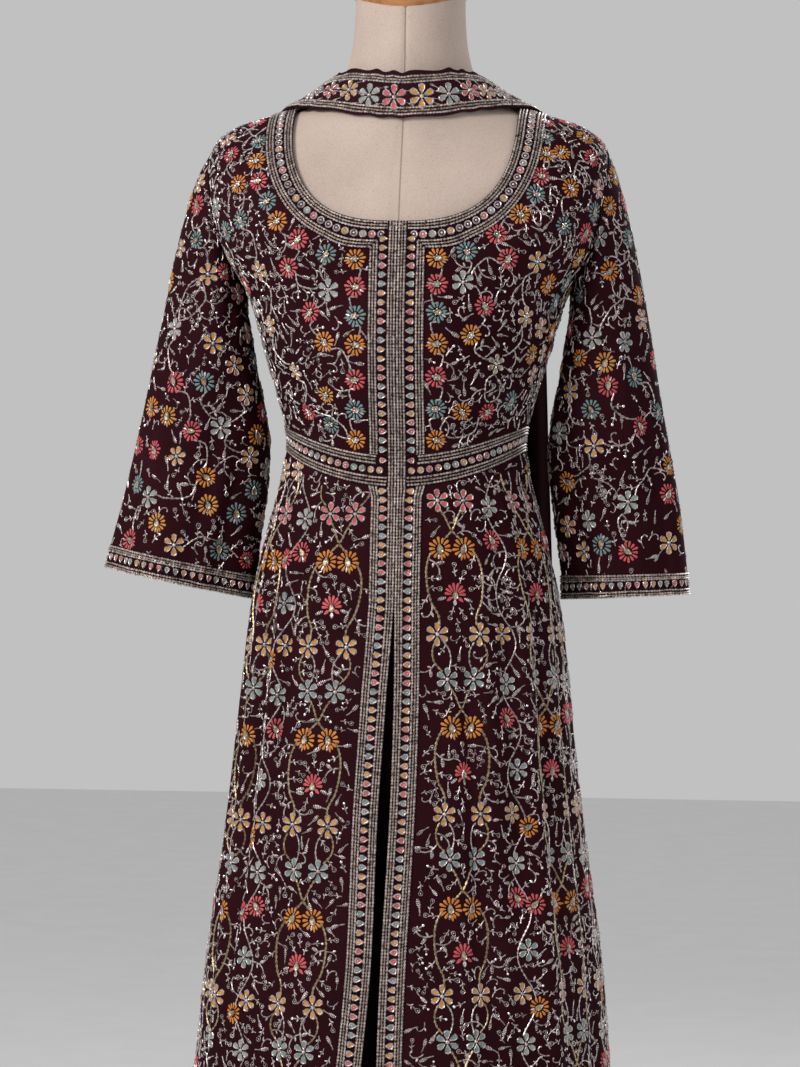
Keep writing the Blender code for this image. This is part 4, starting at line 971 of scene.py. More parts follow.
def skirt_points(angle, level):
    """The skirt's outer side over a grid of angles and levels, gathers included."""
    points = tunic_surface(angle, level)
    place = np.linspace(0, 1, len(points))[:, None]
    lift = gather_lift(angle, points[:1, :, 2] - points[..., 2]) + long_crease_lift("skirt", angle, place)
    return points + outward(tunic_surface, angle, level) * lift[..., None]


def sew_bodice(front, back):
    for hand, side in SIDES:
        points = bodice_points(hand * front[0], front[1])
        sewn = panel(f"bodice_front_{side}", points, "top bottom first last")
        for name, rows in (("neck_border", slice(0, NECK_ROWS + 1)), ("placket", slice(NECK_ROWS, None))):
            trim(f"{name}_{side}", *sewn, (rows, slice(0, BORDER_COLUMNS + 1)))
    JoinedBack("bodice_back", back, "embroidered_cloth", "top bottom last", WALL, 0.0)
    shape = (NECK_ROWS + BACK_STRIP_ROWS + 1, BORDER_COLUMNS + 1)
    JoinedBack("neck_border_back", back, "zari_border", "top", TRIM_WALL, TRIM_LIFT, *shape)


class JoinedBack(Cloth):
    """The bodice's back, joined down the middle below the neckline, or a strip of it along the neckline."""

    def __init__(self, name, back, slot, gaps, wall, lift, rows=None, columns=None):
        self.halves = {}
        points = []
        facing = []
        index = {}
        faces = []
        for hand in (1, -1):
            spots = bodice_points(hand * back[0], back[1])
            normals = normals_of(spots)[:rows, :columns]
            spots = edge_gap(spots, gaps)[:rows, :columns] + normals * lift
            self.halves[hand] = spots
            corners = []
            for row, column in np.ndindex(spots.shape[:2]):
                shared = column == 0 and row >= NECK_ROWS
                key = (row, column, 0 if shared else hand)
                if key not in index:
                    index[key] = len(points)
                    keep = np.array([0.0 if shared else 1.0, 1.0, 1.0])
                    points.append(spots[row, column] * keep)
                    facing.append(normals[row, column] * keep)
                corners.append(index[key])
            for face in grid_faces(*spots.shape[:2]):
                faces.append(tuple(corners[corner] for corner in face)[::hand])
        self.close(name, np.array(points), unit(np.array(facing)), faces, slot, wall)


def sew_waistband(front, back):
    share = np.linspace(0, 1, WAIST_ROWS)[:, None]
    for name, around, dip_share in (("front", front[0][-1], 1.0), ("back", back[0][-1], 0.0)):
        first, last = (-around, around) if name == "front" else (around, 2 * np.pi - around)
        angle = np.concatenate([first[:0:-1], last])
        top = waist_height(angle, WAIST_TOP_Z, WAIST_TOP_DIP * dip_share)
        bottom = waist_height(angle, WAIST_BOTTOM_Z, WAIST_BOTTOM_DIP * dip_share)
        points = tunic_surface(np.tile(angle, (WAIST_ROWS, 1)), level_at(top + share * (bottom - top)))
        panel(f"waistband_{name}", points, "top bottom first last", "zari_border", BAND_WALL)


def sew_skirt(front, back):
    for hand, side in SIDES:
        points = skirt_points(*skirt_quarter(hand, 1, front[0][-1]))
        sewn = panel(f"skirt_front_{side}", points, "top first last")
        trim(f"slit_border_{side}", *sewn, np.s_[:, : BORDER_COLUMNS + 1])
    right, left = (skirt_quarter(hand, -1, back[0][-1]) for hand in (1, -1))
    angle = np.concatenate([right[0][:, :0:-1], left[0] % (2 * np.pi)], axis=1)
    level = np.concatenate([right[1][:, :0:-1], left[1]], axis=1)
    panel("skirt_back", skirt_points(angle, level), "top first last")


def sew_sleeves(front, back):
    for hand, side, table in ((-1, "left", LEFT_SLEEVE), (1, "right", RIGHT_SLEEVE)):
        rings = sleeve_rings(table, SLEEVE_FOLDS[side], armhole(front, back, hand), hand)
        turn = turns(rings.shape[1])[None]
        place = np.linspace(0, 1, rings.shape[0])[:, None]
        lift = long_crease_lift(side, turn, place) * np.clip(place / 0.04, 0, 1)
        rings = rings + normals_of(rings, tube=True) * lift[..., None]
        normals = normals_of(rings, tube=True)
        rings[0, :, 0] += hand * SLEEVE_SEAM
        rings[1, :, 0] += hand * SLEEVE_SEAM / 2
        normals[0, :, 0] = hand * np.minimum(hand * normals[0, :, 0], 0.0)
        normals[0] = unit(normals[0])
        Cloth(f"sleeve_{side}", rings, normals, "embroidered_cloth", wrap=True)
        trim(f"cuff_border_{side}", rings, normals, slice(-CUFF_ROWS, None), wrap=True)


def sew_trousers():
    share = np.linspace(0, 1, LEG_COLUMNS)
    for hand, side in SIDES:
        for face_side, face in ((1, "front"), (-1, "back")):
            points = leg_quarter(hand, face_side, share)
            across = leg_quarter(hand, face_side, share + 1e-3) - leg_quarter(hand, face_side, share - 1e-3)
            normals = unit(np.cross(np.gradient(points, axis=0), across)) * hand * face_side
            Cloth(f"palazzo_{face}_{side}", edge_gap(points, "top first last"), normals, "palazzo_cloth")
    turn = turns(4 * LEG_COLUMNS - 4)
    heights = np.linspace(PALAZZO_WAIST_Z, PALAZZO_WAIST_Z - PALAZZO_BAND, 6)
    angle, level = np.meshgrid(turn, near_level(NECK_AND_CHEST + FORM_HIPS, heights))
    normals = outward(form_surface, angle, level)
    rings = edge_gap(form_surface(angle, level) + normals * PALAZZO_BAND_EASE, "bottom")
    Cloth("palazzo_waistband", rings, normals, "palazzo_cloth", wrap=True)


def sew_scarf():
    """The stretch across the throat, its edges ruffled a little, and the tails."""
    points = scarf_neck_points(SCARF_ROWS, len(SCARF_RUFFLE))
    normals = normals_of(points)
    ends = {"left": points[0].copy(), "right": points[-1].copy()}
    place = np.arange(points.shape[0])[:, None] * 1.0
    ruffle = (np.sin(place * 0.66 + 1.7 * np.sin(place * 0.21)) * SCARF_RUFFLE)[..., None]
    across = unit(points[:, -1:] - points[:, :1])
    points = edge_gap(points + across * ruffle, "top bottom") + normals * np.abs(ruffle) / 2
    Cloth("dupatta_neck", points, normals, "scarf_cloth", SCARF_WALL)
    for hand, side in SIDES:
        points = tail_points(hand, ends[side], TAIL_ROWS, TAIL_COLUMNS)
        panel(f"dupatta_tail_{side}", points, "top", "scarf_cloth")


def solid_of_rings(name, rings, slot):
    """A closed solid through rings of points, with a fan at each end."""
    rows, count = rings.shape[:2]
    points = np.concatenate([rings.reshape(-1, 3), [rings[0].mean(axis=0), rings[-1].mean(axis=0)]])
    faces = [face[::-1] for face in grid_faces(rows, count, wrap=True)]
    for index in range(count):
        after = (index + 1) % count
        faces.append((index, after, rows * count))
        faces.append(((rows - 1) * count + after, (rows - 1) * count + index, rows * count + 1))
    made = placed_solid(f"{name}_{slot}", points, faces, slot, name)
    built = bmesh.new()
    built.from_mesh(made.data)
    bmesh.ops.recalc_face_normals(built, faces=built.faces)
    built.to_mesh(made.data)
    built.free()


def build_form():
    """The linen form with its sewn front seam, and its wooden cap."""
    turn = turns(FORM_COLUMNS)
    turn = turn - FORM_SEAM_PULL * np.sin(2 * turn)
    levels = np.linspace(0, len(NECK_AND_CHEST) + len(FORM_HIPS) - 1, FORM_ROWS)
    angle, level = np.meshgrid(turn, levels)
    rings = form_surface(angle, level)
    from_seam = np.minimum(np.abs(rings[..., :1]), 0.02)
    depth = FORM_SEAM_DEPTH * bell(from_seam, FORM_SEAM_WIDTH)
    solid_of_rings("form_torso", rings - outward(form_surface, angle, level) * depth, "linen")
    neck = form_surface(turn, np.zeros_like(turn))
    middle = neck.mean(axis=0)
    slope = unit(np.cross(neck[0] - middle, neck[FORM_COLUMNS // 4] - middle))
    up = slope if slope[2] > 0 else -slope
    profile = smooth(CAP_PROFILE, np.linspace(0, len(CAP_PROFILE) - 1, 29))
    cap = np.array([middle + (neck - middle) * scale + up * height for scale, height in profile])
    solid_of_rings("form_neck_cap", cap, "wood")


def turned(name, profile, slot, segments=96):
    """A solid turned about the pole's axis from a profile of radius and height."""
    angle = turns(segments)
    circle = np.stack([np.cos(angle), np.sin(angle), np.zeros(segments)], axis=-1)
    solid_of_rings(name, np.array([radius * circle + [0, 0, z] for radius, z in profile]), slot)


def build_stand():
    top = FORM_HIPS[-1].side_z - SEAM
    low = FLANGE_TOP + SEAM
    inner = POLE_RADIUS - POLE_BEVEL
    pole = [(inner, top), (POLE_RADIUS, top - POLE_BEVEL), (POLE_RADIUS, low + POLE_BEVEL), (inner, low)]
    turned("form_pole", pole, "steel", 48)
    profile = [
        (FLANGE_RADIUS - STAND_BEVEL, FLANGE_TOP), (FLANGE_RADIUS, FLANGE_TOP - STAND_BEVEL),
        (FLANGE_RADIUS, BASE_THICKNESS + STAND_BEVEL), (FLANGE_RADIUS + STAND_BEVEL, BASE_THICKNESS),
    ]
    for turn in np.radians(np.arange(0, 91, 15)):
        beside = BASE_RADIUS - BASE_ROUND + BASE_ROUND * math.sin(turn)
        profile.append((beside, BASE_THICKNESS - BASE_ROUND + BASE_ROUND * math.cos(turn)))
    foot = [(BASE_RADIUS, STAND_BEVEL), (BASE_RADIUS - STAND_BEVEL, 0.0)]
    turned("form_base", profile + foot, "base")


# What is sewn where

# Height of the lowest stitches above the cloth
BED = 0.00003
MM = 0.001
# Flowers by the photograph's pixels: kind, colour, pixel across and down, size, lean in degrees
Flower = namedtuple("Flower", "kind colour x y size lean", defaults=(0.9, 0.0))


def flowers(groups):
    """Named flowers from rows of pixel, size and lean, by kind and colour."""
    return [Flower(kind, colour, *row) for (kind, colour), rows in groups.items() for row in rows]


ROW_COLOURS = ["mustard", "mustard", "coral", "coral", "teal", "teal"]
NECK_COLOURS = ["dark", "dark", "dark", "mustard", "dark", "blue", "coral"]
FLOWER_COLOURS = ["coral", "mustard", "teal", "orange"]
BODICE_FLOWERS = {
    "left": flowers({
        ("fan", "orange"): [
            (355, 259, 0.9, 80), (355, 345, 0.92, -80), (356, 440, 0.86, 80), (256, 161, 0.86, 80),
            (277, 221, 0.92, 45), (324, 342, 0.92, -30), (238, 184, 0.86, 40),
        ],
        ("fan", "coral"): [
            (355, 287, 0.92, -80), (355, 380, 0.92, 80), (257, 123, 0.86, 60), (258, 181, 0.86, 75),
            (298, 239, 0.92, 30), (288, 268, 0.92, -20), (310, 312, 0.9, 30), (309, 412, 0.82, -20),
            (231, 154, 0.82, 10),
        ],
        ("fan", "teal"): [
            (355, 316, 0.92, 80), (355, 410, 0.9, -80), (259, 141, 0.82, 70), (267, 201, 0.88, 60),
            (326, 254, 0.9, 15), (331, 424, 0.8, 60), (240, 220, 0.86, -30),
        ],
        ("daisy", "blue"): [(328, 290, 0.96)],
        ("daisy", "mustard"): [(259, 271, 0.9), (270, 326, 0.9), (296, 371, 0.82)],
        ("fan", "mustard"): [(326, 395, 0.78, 20)],
    }),
    "right": flowers({
        ("fan", "orange"): [
            (437, 258, 0.9, -80), (437, 344, 0.92, 80), (436, 440, 0.86, -80), (546, 154, 0.86, -80),
            (520, 214, 0.92, -45), (471, 335, 0.92, 30), (562, 152, 0.8, 30), (571, 188, 0.86, -40),
            (462, 412, 0.82, -30),
        ],
        ("fan", "coral"): [
            (437, 284, 0.92, 80), (436, 377, 0.92, -80), (546, 122, 0.86, -60), (541, 176, 0.86, -75),
            (497, 234, 0.92, -30), (508, 259, 0.92, 20), (485, 306, 0.9, -30), (592, 158, 0.86, 10),
            (487, 412, 0.82, 20),
        ],
        ("fan", "teal"): [
            (437, 312, 0.92, -80), (436, 409, 0.9, 80), (545, 137, 0.82, -70), (536, 194, 0.88, -60),
            (467, 251, 0.9, -15), (564, 226, 0.84, 20),
        ],
        ("daisy", "blue"): [(463, 282, 0.96)],
        ("daisy", "mustard"): [(537, 262, 0.92), (526, 317, 0.92)],
        ("daisy", "gold"): [(496, 364, 0.86)],
    }),
}
SLEEVE_FLOWERS = {
    "left": flowers({
        ("fan", "coral"): [
            (197, 205, 0.94, -20), (225, 272, 0.82, 30), (173, 382, 1.0, 160), (191, 431, 0.92, 90),
            (130, 540, 0.98, -60), (247, 560, 0.8, 150),
        ],
        ("daisy", "mustard"): [
            (208, 274, 0.96), (247, 395, 0.92), (136, 431, 0.92), (250, 457, 0.92), (174, 545, 0.96),
        ],
        ("daisy", "blue"): [(175, 329, 0.98), (221, 428, 0.96), (148, 497, 0.96)],
        ("fan", "teal"): [(204, 382, 0.96, 170), (219, 550, 0.94, 180), (196, 240, 0.8, 40)],
        ("fan", "orange"): [(206, 477, 0.92, -60)],
    }),
    "right": flowers({
        ("fan", "orange"): [
            (610, 206, 0.9, 20), (610, 271, 0.9, 40), (639, 296, 0.9, -20), (579, 358, 0.8, 30),
            (669, 466, 0.86, 30), (567, 482, 0.92, -60),
        ],
        ("fan", "teal"): [
            (629, 239, 0.9, -20), (582, 294, 0.88, 0), (634, 377, 0.94, 160), (658, 412, 0.8, 10),
            (601, 545, 0.94, 180),
        ],
        ("daisy", "blue"): [(592, 338, 0.96), (559, 433, 0.96), (628, 502, 0.96)],
        ("fan", "coral"): [
            (608, 386, 0.92, 180), (640, 426, 0.9, -40), (536, 446, 0.84, 20), (628, 552, 0.92, 120),
        ],
        ("daisy", "mustard"): [(570, 392, 0.94), (594, 446, 0.96), (669, 543, 0.96), (557, 552, 0.94)],
    }),
}
SCARF_FLOWERS = flowers({
    ("daisy", "teal"): [(316, 92, 0.84), (502, 93, 0.8)],
    ("daisy", "coral"): [(331, 90, 0.82), (394, 97, 1.1), (470, 90, 0.92)],
    ("daisy", "mustard"): [(349, 90, 0.92), (422, 96, 1.1), (487, 91, 0.86)],
    ("daisy", "blue"): [(369, 95, 1.02), (449, 94, 1.02)],
})


def corded(*places):
    """Lines of zari at these places, every second of three an antique one."""
    return [(place, ("cord", "antique", "cord")[index % 3]) for index, place in enumerate(places)]


# Distance in metres from the border's first edge, or share of the cloth's depth or width
CENTRE_LINES = corded(0.0014, 0.0042, 0.007)
OUTER_LINES = corded(0.0187, 0.0215, 0.0243)
WAIST_LINES = corded(0.0014, 0.0041, 0.0068, 0.0177, 0.0204, 0.0231)
SLIT_LINES = corded(0.0013, 0.004, 0.0067, 0.0169, 0.0196, 0.0223)
CUFF_LINES = corded(0.06, 0.17, 0.28, 0.76, 0.87, 0.97)
SCARF_LINES = corded(0.11, 0.17, 0.23, 0.79, 0.86, 0.93)
TAIL_LINES = corded(0.03, 0.06, 0.09, 0.91, 0.94, 0.97)
BORDER_MIDDLE = 0.496
SLIT_MIDDLE = 0.4917
CUFF_MIDDLE = 0.53
PLACKET_MIDDLE = 0.0129
CENTRE_BAND = 0.0088
WAIST_DEPTH = 0.0245
# Motif, pitch in metres and size of the row down the middle of each border
BORDER_ROWS = {
    "neck": ("jewel", 0.0085, 1.0), "placket": ("drop", 0.0086, 0.96), "waist": ("jewel", 0.0083, 0.88),
    "slit": ("drop", 0.0084, 0.98), "cuff": ("drop", 0.0083, 0.84),
}
# Seeds of the random draws, and pitch of the sprigs that fill what is left of a cloth
SEEDS = {"bodice": 11, "sleeve": 23, "skirt": 37, "back": 53}
FILL_PITCH = {"bodice": 0.0078, "sleeve": 0.0128, "skirt": 0.0104, "skirt_back": 0.014, "back": 0.0105}
# Pitch of the flowers strewn over what is left, and the room that one needs
STREWN_PITCH = 0.03
STREWN_ROOM = 0.0115
# Vines between flowers: how far the next flower lies lower, how near and how far it may be, and how far from
# a flower's middle the vine starts
JOIN_FALL = 0.012
JOIN_NEAR = 0.022
JOIN_FAR = 0.085
JOIN_START = 0.009
# Flowers of the front that the back has too: those below a pixel row, or this far from the middle column
BACK_FLOWERS_BELOW = 225
BACK_FLOWERS_BESIDE = 155
MIDDLE_PIXEL = 404
# Flowers along the scarf where the photograph hides it: distance from its middle to the first one, and pitch
SCARF_FLOWERS_FROM = 0.108
SCARF_FLOWERS_PITCH = 0.027
TAIL_FLOWER_SHARES = (0.28, 0.72)

# The skirt's repeat: its height, and where a crossing of the vines falls on each side
REPEAT = 0.163
REPEATS = 7
TRELLIS_START = {"left": 0.985, "right": 0.998}
TRELLIS_SHARES = [0.27, 0.72]
SPRAY_SHARES = [0.5, 0.95]
BACK_TRELLIS_SHARES = [0.14, 0.66]
BACK_SPRAY_SHARES = [0.4, 0.92]
SPRAY_SWING = 0.0085
Placed = namedtuple("Placed", "kind colour across down size lean")
TRELLIS_FLOWERS = table(Placed, [
    ("fan", "orange", 11.5, 0.1, 0.98, 14), ("bud", "coral", 0, 0.36, 1.05, 0),
    ("daisy", "mustard", 19, 0.58, 0.98, 0), ("daisy", "teal", 13.5, 0.83, 0.96, 0),
], "kind colour down size lean")
SPRAY_FLOWERS = table(Placed, [
    ("fan", "coral", -7.5, 0.05, 0.92, -30), ("fan", "coral", 9.5, 0.09, 0.92, 40),
    ("daisy", "teal", 6, 0.34, 0.92, 0), ("daisy", "mustard", -8, 0.58, 0.9, 0),
    ("fan", "orange", 8, 0.66, 0.88, 60), ("daisy", "blue", 0, 0.86, 0.9, 0),
], "kind colour down size lean")
Vine = namedtuple("Vine", "thread width twig_spacing places")
TRELLIS_VINES = [
    Vine("gold", 0.0019, 0.01, [
        (0.0, 0.0), (0.008, 0.05), (0.02, 0.12), (0.0255, 0.2), (0.0262, 0.3), (0.0235, 0.4), (0.0175, 0.48),
        (0.018, 0.56),
    ]),
    Vine("gold", 0.0016, 0.013, [(0.02, 0.6), (0.0255, 0.67), (0.024, 0.74), (0.015, 0.8)]),
    Vine("silver", 0.0014, 0.018, [(0.018, 0.6), (0.0105, 0.66), (0.009, 0.73), (0.0125, 0.8)]),
    Vine("gold", 0.0018, 0.012, [(0.0125, 0.86), (0.0062, 0.92), (0.0028, 0.97), (0.0, 1.0)]),
]
TRELLIS_SPRIGS = [
    (0.0, 0.03, "curl", 180), (0.0, 0.225, "curl", 0), (0.0062, 0.265, "curl", 28),
    (0.0135, 0.3, "leaf", -40), (0.0045, 0.455, "curl", 156), (0.0, 0.52, "curl", 180),
    (0.0, 0.68, "leaf", 180), (0.0, 0.79, "curl", 0), (0.0, 0.9, "curl", 0),
]

# The cut of each cloth, {} standing for left and right: width, length and, where it isn't a rectangle, area,
# in metres; how it is held, and by what
Cut = namedtuple("Cut", "cloth width length area held rests_on")
CUTS = [
    Cut("bodice_front_{}", 0.215, 0.325, 0.06, "draped", "form_torso"),
    Cut("bodice_back", 0.43, 0.33, 0.119, "draped", "form_torso"),
    Cut("neck_border_{}", 0.027, 0.245, None, "laid", "bodice_front_{}"),
    Cut("neck_border_back", 0.262, 0.115, 0.0122, "laid", "bodice_back"),
    Cut("placket_{}", 0.027, 0.205, None, "laid", "bodice_front_{}"),
    Cut("waistband_front", 0.03, 0.358, 0.01, "draped", "form_torso"),
    Cut("waistband_back", 0.0245, 0.334, None, "draped", "form_torso"),
    Cut("skirt_front_left", 0.3, 0.955, 0.23, "gathered", "waistband_front"),
    Cut("skirt_front_right", 0.352, 0.955, 0.252, "gathered", "waistband_front"),
    Cut("skirt_back", 0.692, 0.953, 0.507, "gathered", "waistband_back"),
    Cut("slit_border_{}", 0.0245, 0.915, None, "laid", "skirt_front_{}"),
    Cut("sleeve_left", 0.378, 0.42, 0.112, "hung", "bodice_front_left"),
    Cut("sleeve_right", 0.362, 0.432, 0.108, "hung", "bodice_front_right"),
    Cut("cuff_border_left", 0.0245, 0.378, None, "laid", "sleeve_left"),
    Cut("cuff_border_right", 0.0245, 0.342, None, "laid", "sleeve_right"),
    Cut("palazzo_front_left", 0.387, 1.035, 0.292, "gathered", "palazzo_waistband"),
    Cut("palazzo_back_left", 0.403, 1.05, 0.31, "gathered", "palazzo_waistband"),
    Cut("palazzo_front_right", 0.339, 1.035, 0.248, "gathered", "palazzo_waistband"),
    Cut("palazzo_back_right", 0.357, 1.05, 0.266, "gathered", "palazzo_waistband"),
    Cut("palazzo_waistband", 0.0295, 0.634, None, "stretched", "form_torso"),
    Cut("dupatta_neck", 0.057, 0.526, 0.0222, "draped", "form_torso"),
    Cut("dupatta_tail_{}", 0.169, 0.904, 0.0995, "hung", "form_torso"),
]


# Embroidery: motifs are drawn in their own plane in millimetres (across, up, high), then sewn onto a cloth


class Motif:
    """Raised stitches: points, faces, and each face's part (ring, fill, heart, stem or shine)."""

    def __init__(self):
        self.points = []
        self.faces = []
        self.parts = []

    def add(self, u, v, heights, faces, part, angle=0.0, middle=(0.0, 0.0)):
        """Points u across and v along an angle (degrees from up, clockwise) from the middle, and faces."""
        sine = math.sin(math.radians(angle))
        cosine = math.cos(math.radians(angle))
        start = len(self.points)
        for across, along, height in np.broadcast(u, v, heights):
            x = middle[0] + across * cosine + along * sine
            y = middle[1] - across * sine + along * cosine
            self.points.append((x, y, height))
        self.faces.extend(tuple(index + start for index in face) for face in faces)
        self.parts.extend([part] * len(faces) if isinstance(part, str) else part)

    def mound(self, across, along, scales, heights, parts, angle=0.0, middle=(0, 0), centre=0.0, lean=0.0):
        """An outline repeated inside itself, smaller; with as many parts as scales it closes in a point."""
        count = len(across)
        u = np.concatenate([across * scale for scale in scales] + [[0.0]])
        v = centre + np.concatenate([along * scale + (1 - scale) * lean for scale in scales] + [[lean]])
        high = np.append(np.repeat(heights[: len(scales)], count), heights[-1])
        faces = []
        for ring in range(len(parts)):
            for index in range(count):
                here = ring * count + index
                after = ring * count + (index + 1) % count
                inner = (after + count, here + count) if ring + 1 < len(scales) else (len(scales) * count,)
                faces.append((here, after, *inner))
        used = slice(None, None if len(parts) == len(scales) else -1)
        self.add(u[used], v[used], high[used], faces, list(np.repeat(parts, count)), angle, middle)

    def teardrop(self, near, far, width, angle, fill="fill", middle=(0.0, 0.0), high=1.0, inside=0.74):
        """A petal from near to far along an angle, round at its end; without fill it is an open loop."""
        turn = turns(8 if fill else 7)
        length = (far - near) / 2
        along = -np.cos(turn)
        across = np.sin(turn) * (0.62 + 0.38 * along) * width * 0.7
        self.mound(
            across, along * length, (1.0, (1 + inside) / 2, inside), np.array([0.0, 0.85, 0.35, 0.7]) * high,
            ["ring", "ring"] + ([fill] if fill else []), angle, middle, (far + near) / 2, length * 0.12,
        )

    def bead(self, across, up, radius, height, part="heart", scales=(1.0, 0.7), count=6):
        turn = turns(count)
        heights = (0.1, height * 0.8, height)
        middle = (across, up)
        self.mound(np.sin(turn) * radius, -np.cos(turn) * radius, scales, heights, [part] * 2, middle=middle)

    def finger(self, near, far, width, angle, part="fill"):
        """A satin stitch bar, narrow at its root."""
        shoulder = near + (far - near) * 0.72
        u = np.array([-0.22, 0.22, 0.5, 0.34, -0.34, -0.5, 0.0, 0.0]) * width
        v = [near, near, shoulder, far, far, shoulder, near + 0.8, far - 0.9]
        faces = [(0, 1, 6), (1, 2, 7, 6), (2, 3, 7), (3, 4, 7), (4, 5, 7), (5, 0, 6, 7)]
        self.add(u, v, [0.0] * 6 + [0.75] * 2, faces, part, angle)

    def leaf(self, near, far, width, angle, part="ring", middle=(0.0, 0.0)):
        u = np.array([0.0, 0.5, 0.38, 0.0, -0.38, -0.5, 0.0]) * width
        v = near + (far - near) * np.array([0.0, 0.42, 0.76, 1.0, 0.76, 0.42, 0.5])
        self.add(u, v, [0.0] * 6 + [0.6], FAN_OF_SIX, part, angle, middle)

    def barred_leaf(self, near, far, width, angle, middle=(0.0, 0.0)):
        """A leaf of slanting stitches side by side, with bare cloth between them."""
        thick = (far - near) * 0.095
        for share in (0.08, 0.26, 0.44, 0.62, 0.8):
            half = width * 0.44 * math.sin(math.pi * (0.16 + 0.8 * share))
            u = np.array([-1.0, 0.0, 1.0, 0.8, 0.0, -0.8, 0.0]) * half
            v = near + (far - near) * share
            v = v + np.array([0.5, -0.3, 0.5, 0.5 + thick, thick, 0.5 + thick, thick / 2])
            self.add(u, v, [0.0] * 6 + [0.7], FAN_OF_SIX, "ring", angle, middle)

    def stem(self, places, width=1.2, height=0.6):
        """A stitched line through places (across, up)."""
        places = np.asarray(places, float)
        run = unit(np.gradient(places, axis=0))
        side = np.stack([run[:, 1], -run[:, 0]], axis=-1) * width / 2
        rows = np.stack([places - side, places, places + side], axis=1).reshape(-1, 2)
        heights = [0.0, height, 0.0] * len(places)
        self.add(rows[:, 0], rows[:, 1], heights, ribbon_faces(len(places)), "stem")

    def loop(self, middle, angle, size=1.0):
        """A teardrop loop with a knot in it."""
        self.teardrop(0.0, 7.0 * size, 5.6 * size, angle, None, middle, 0.9, 0.66)
        self.mound(KNOT[:, 0], KNOT[:, 1], (1.0,), (0.0, 0.8), ["ring"], angle, middle, 4.2 * size)


KNOT = np.array([(0.0, -0.9), (0.8, -0.2), (0.5, 0.8), (-0.5, 0.8), (-0.8, -0.2)])
FAN_OF_SIX = [(index, (index + 1) % 6, 6) for index in range(6)]


def ribbon_faces(count):
    """Faces of a ridged line of count rows of three points."""
    faces = []
    for here in range(0, 3 * count - 3, 3):
        faces += [(here, here + 1, here + 4, here + 3), (here + 1, here + 2, here + 5, here + 4)]
    return faces


def daisy():
    """Six outlined petals round a bead."""
    made = Motif()
    for angle in range(0, 360, 60):
        made.teardrop(1.7, 11.6, 6.6, angle, inside=0.66)
        made.finger(4.8, 8.2, 0.8, angle, "ring")
    made.bead(0.0, 0.0, 2.2, 1.6, "ring")
    return made


def fan():
    """Satin fingers spread round a drop-shaped heart, and a tail of three leaves."""
    made = Motif()
    for index in range(11):
        made.finger(4.8, 11.2 if index % 2 else 10.2, 2.7, -138 + 27.6 * index)
    made.teardrop(-5.4, 5.2, 6.6, 180, "heart", high=1.5, inside=0.72)
    for lean, far, part in ((-18, 10.4, "fill"), (0, 12.0, "fill"), (18, 10.4, "ring")):
        made.leaf(4.4, far, 2.3, 180 + lean, part)
    return made


def bud():
    """A half-open flower on two small leaves."""
    made = Motif()
    for index in range(8):
        made.finger(3.4, 11.0 - 0.45 * abs(index - 3.5), 2.5, -84 + 24 * index)
    made.teardrop(-4.6, 4.4, 5.8, 180, "heart", high=1.4, inside=0.72)
    made.leaf(3.6, 9.6, 3.4, 180)
    for side in (-1, 1):
        made.leaf(2.4, 9.4, 3.0, 128 * side, "fill")
        made.barred_leaf(8.0, 17.0, 3.6, 108 * side)
    return made


def drop():
    made = Motif()
    made.teardrop(-4.5, 4.2, 7.0, 0, inside=0.62)
    made.bead(0.0, 0.8, 0.9, 1.0, "ring")
    return made


def jewel():
    """A round stone in a ring of zari."""
    made = Motif()
    turn = turns(9)
    heights = (0.0, 1.0, 0.35, 0.5)
    made.mound(
        np.sin(turn) * 3.9, -np.cos(turn) * 3.9, (1.0, 0.85, 0.64), heights, ["ring", "ring", "fill"],
    )
    made.bead(0.0, 0.0, 1.5, 1.1, "ring")
    return made


def glints():
    """Five beads on the heart of a flower."""
    made = Motif()
    for across, up in ((0.0, 0.0), (2.9, 0.8), (-2.8, 1.0), (0.6, 3.4), (-0.4, -3.2)):
        made.bead(across, up, 0.95, 2.2, "shine")
    return made


def sprig(stem, leaves=(), loop=None, bead=None, barred=None, width=1.2):
    """A stem with small leaves, and a loop, a bead or a leaf of slanting stitches at its end."""
    made = Motif()
    made.stem(stem, width)
    for near, far, breadth, angle, foot in leaves:
        made.leaf(near, far, breadth, angle, "ring", foot)
    if loop:
        made.loop(*loop)
    if bead:
        made.bead(*bead)
    if barred:
        made.barred_leaf(*barred)
    return made


def branch(hand):
    """A bent twig with leaves on both sides and a loop at its end, to the right (hand 1) or the left (-1)."""
    stem = [(0.0, -5.0), (1.0 * hand, -1.0), (0.9 * hand, 3.4), (-0.8 * hand, 7.4), (-3.6 * hand, 10.2)]
    leaf = (0.0, 5.0, 2.0, -60 * hand, (0.8 * hand, -0.6))
    loop = ((-3.4 * hand, 9.8), -58 * hand, 0.95)
    return sprig(stem, [leaf], loop, None, (0.4, 8.6, 4.0, 50 * hand, (0.9 * hand, 1.6)), 1.3)


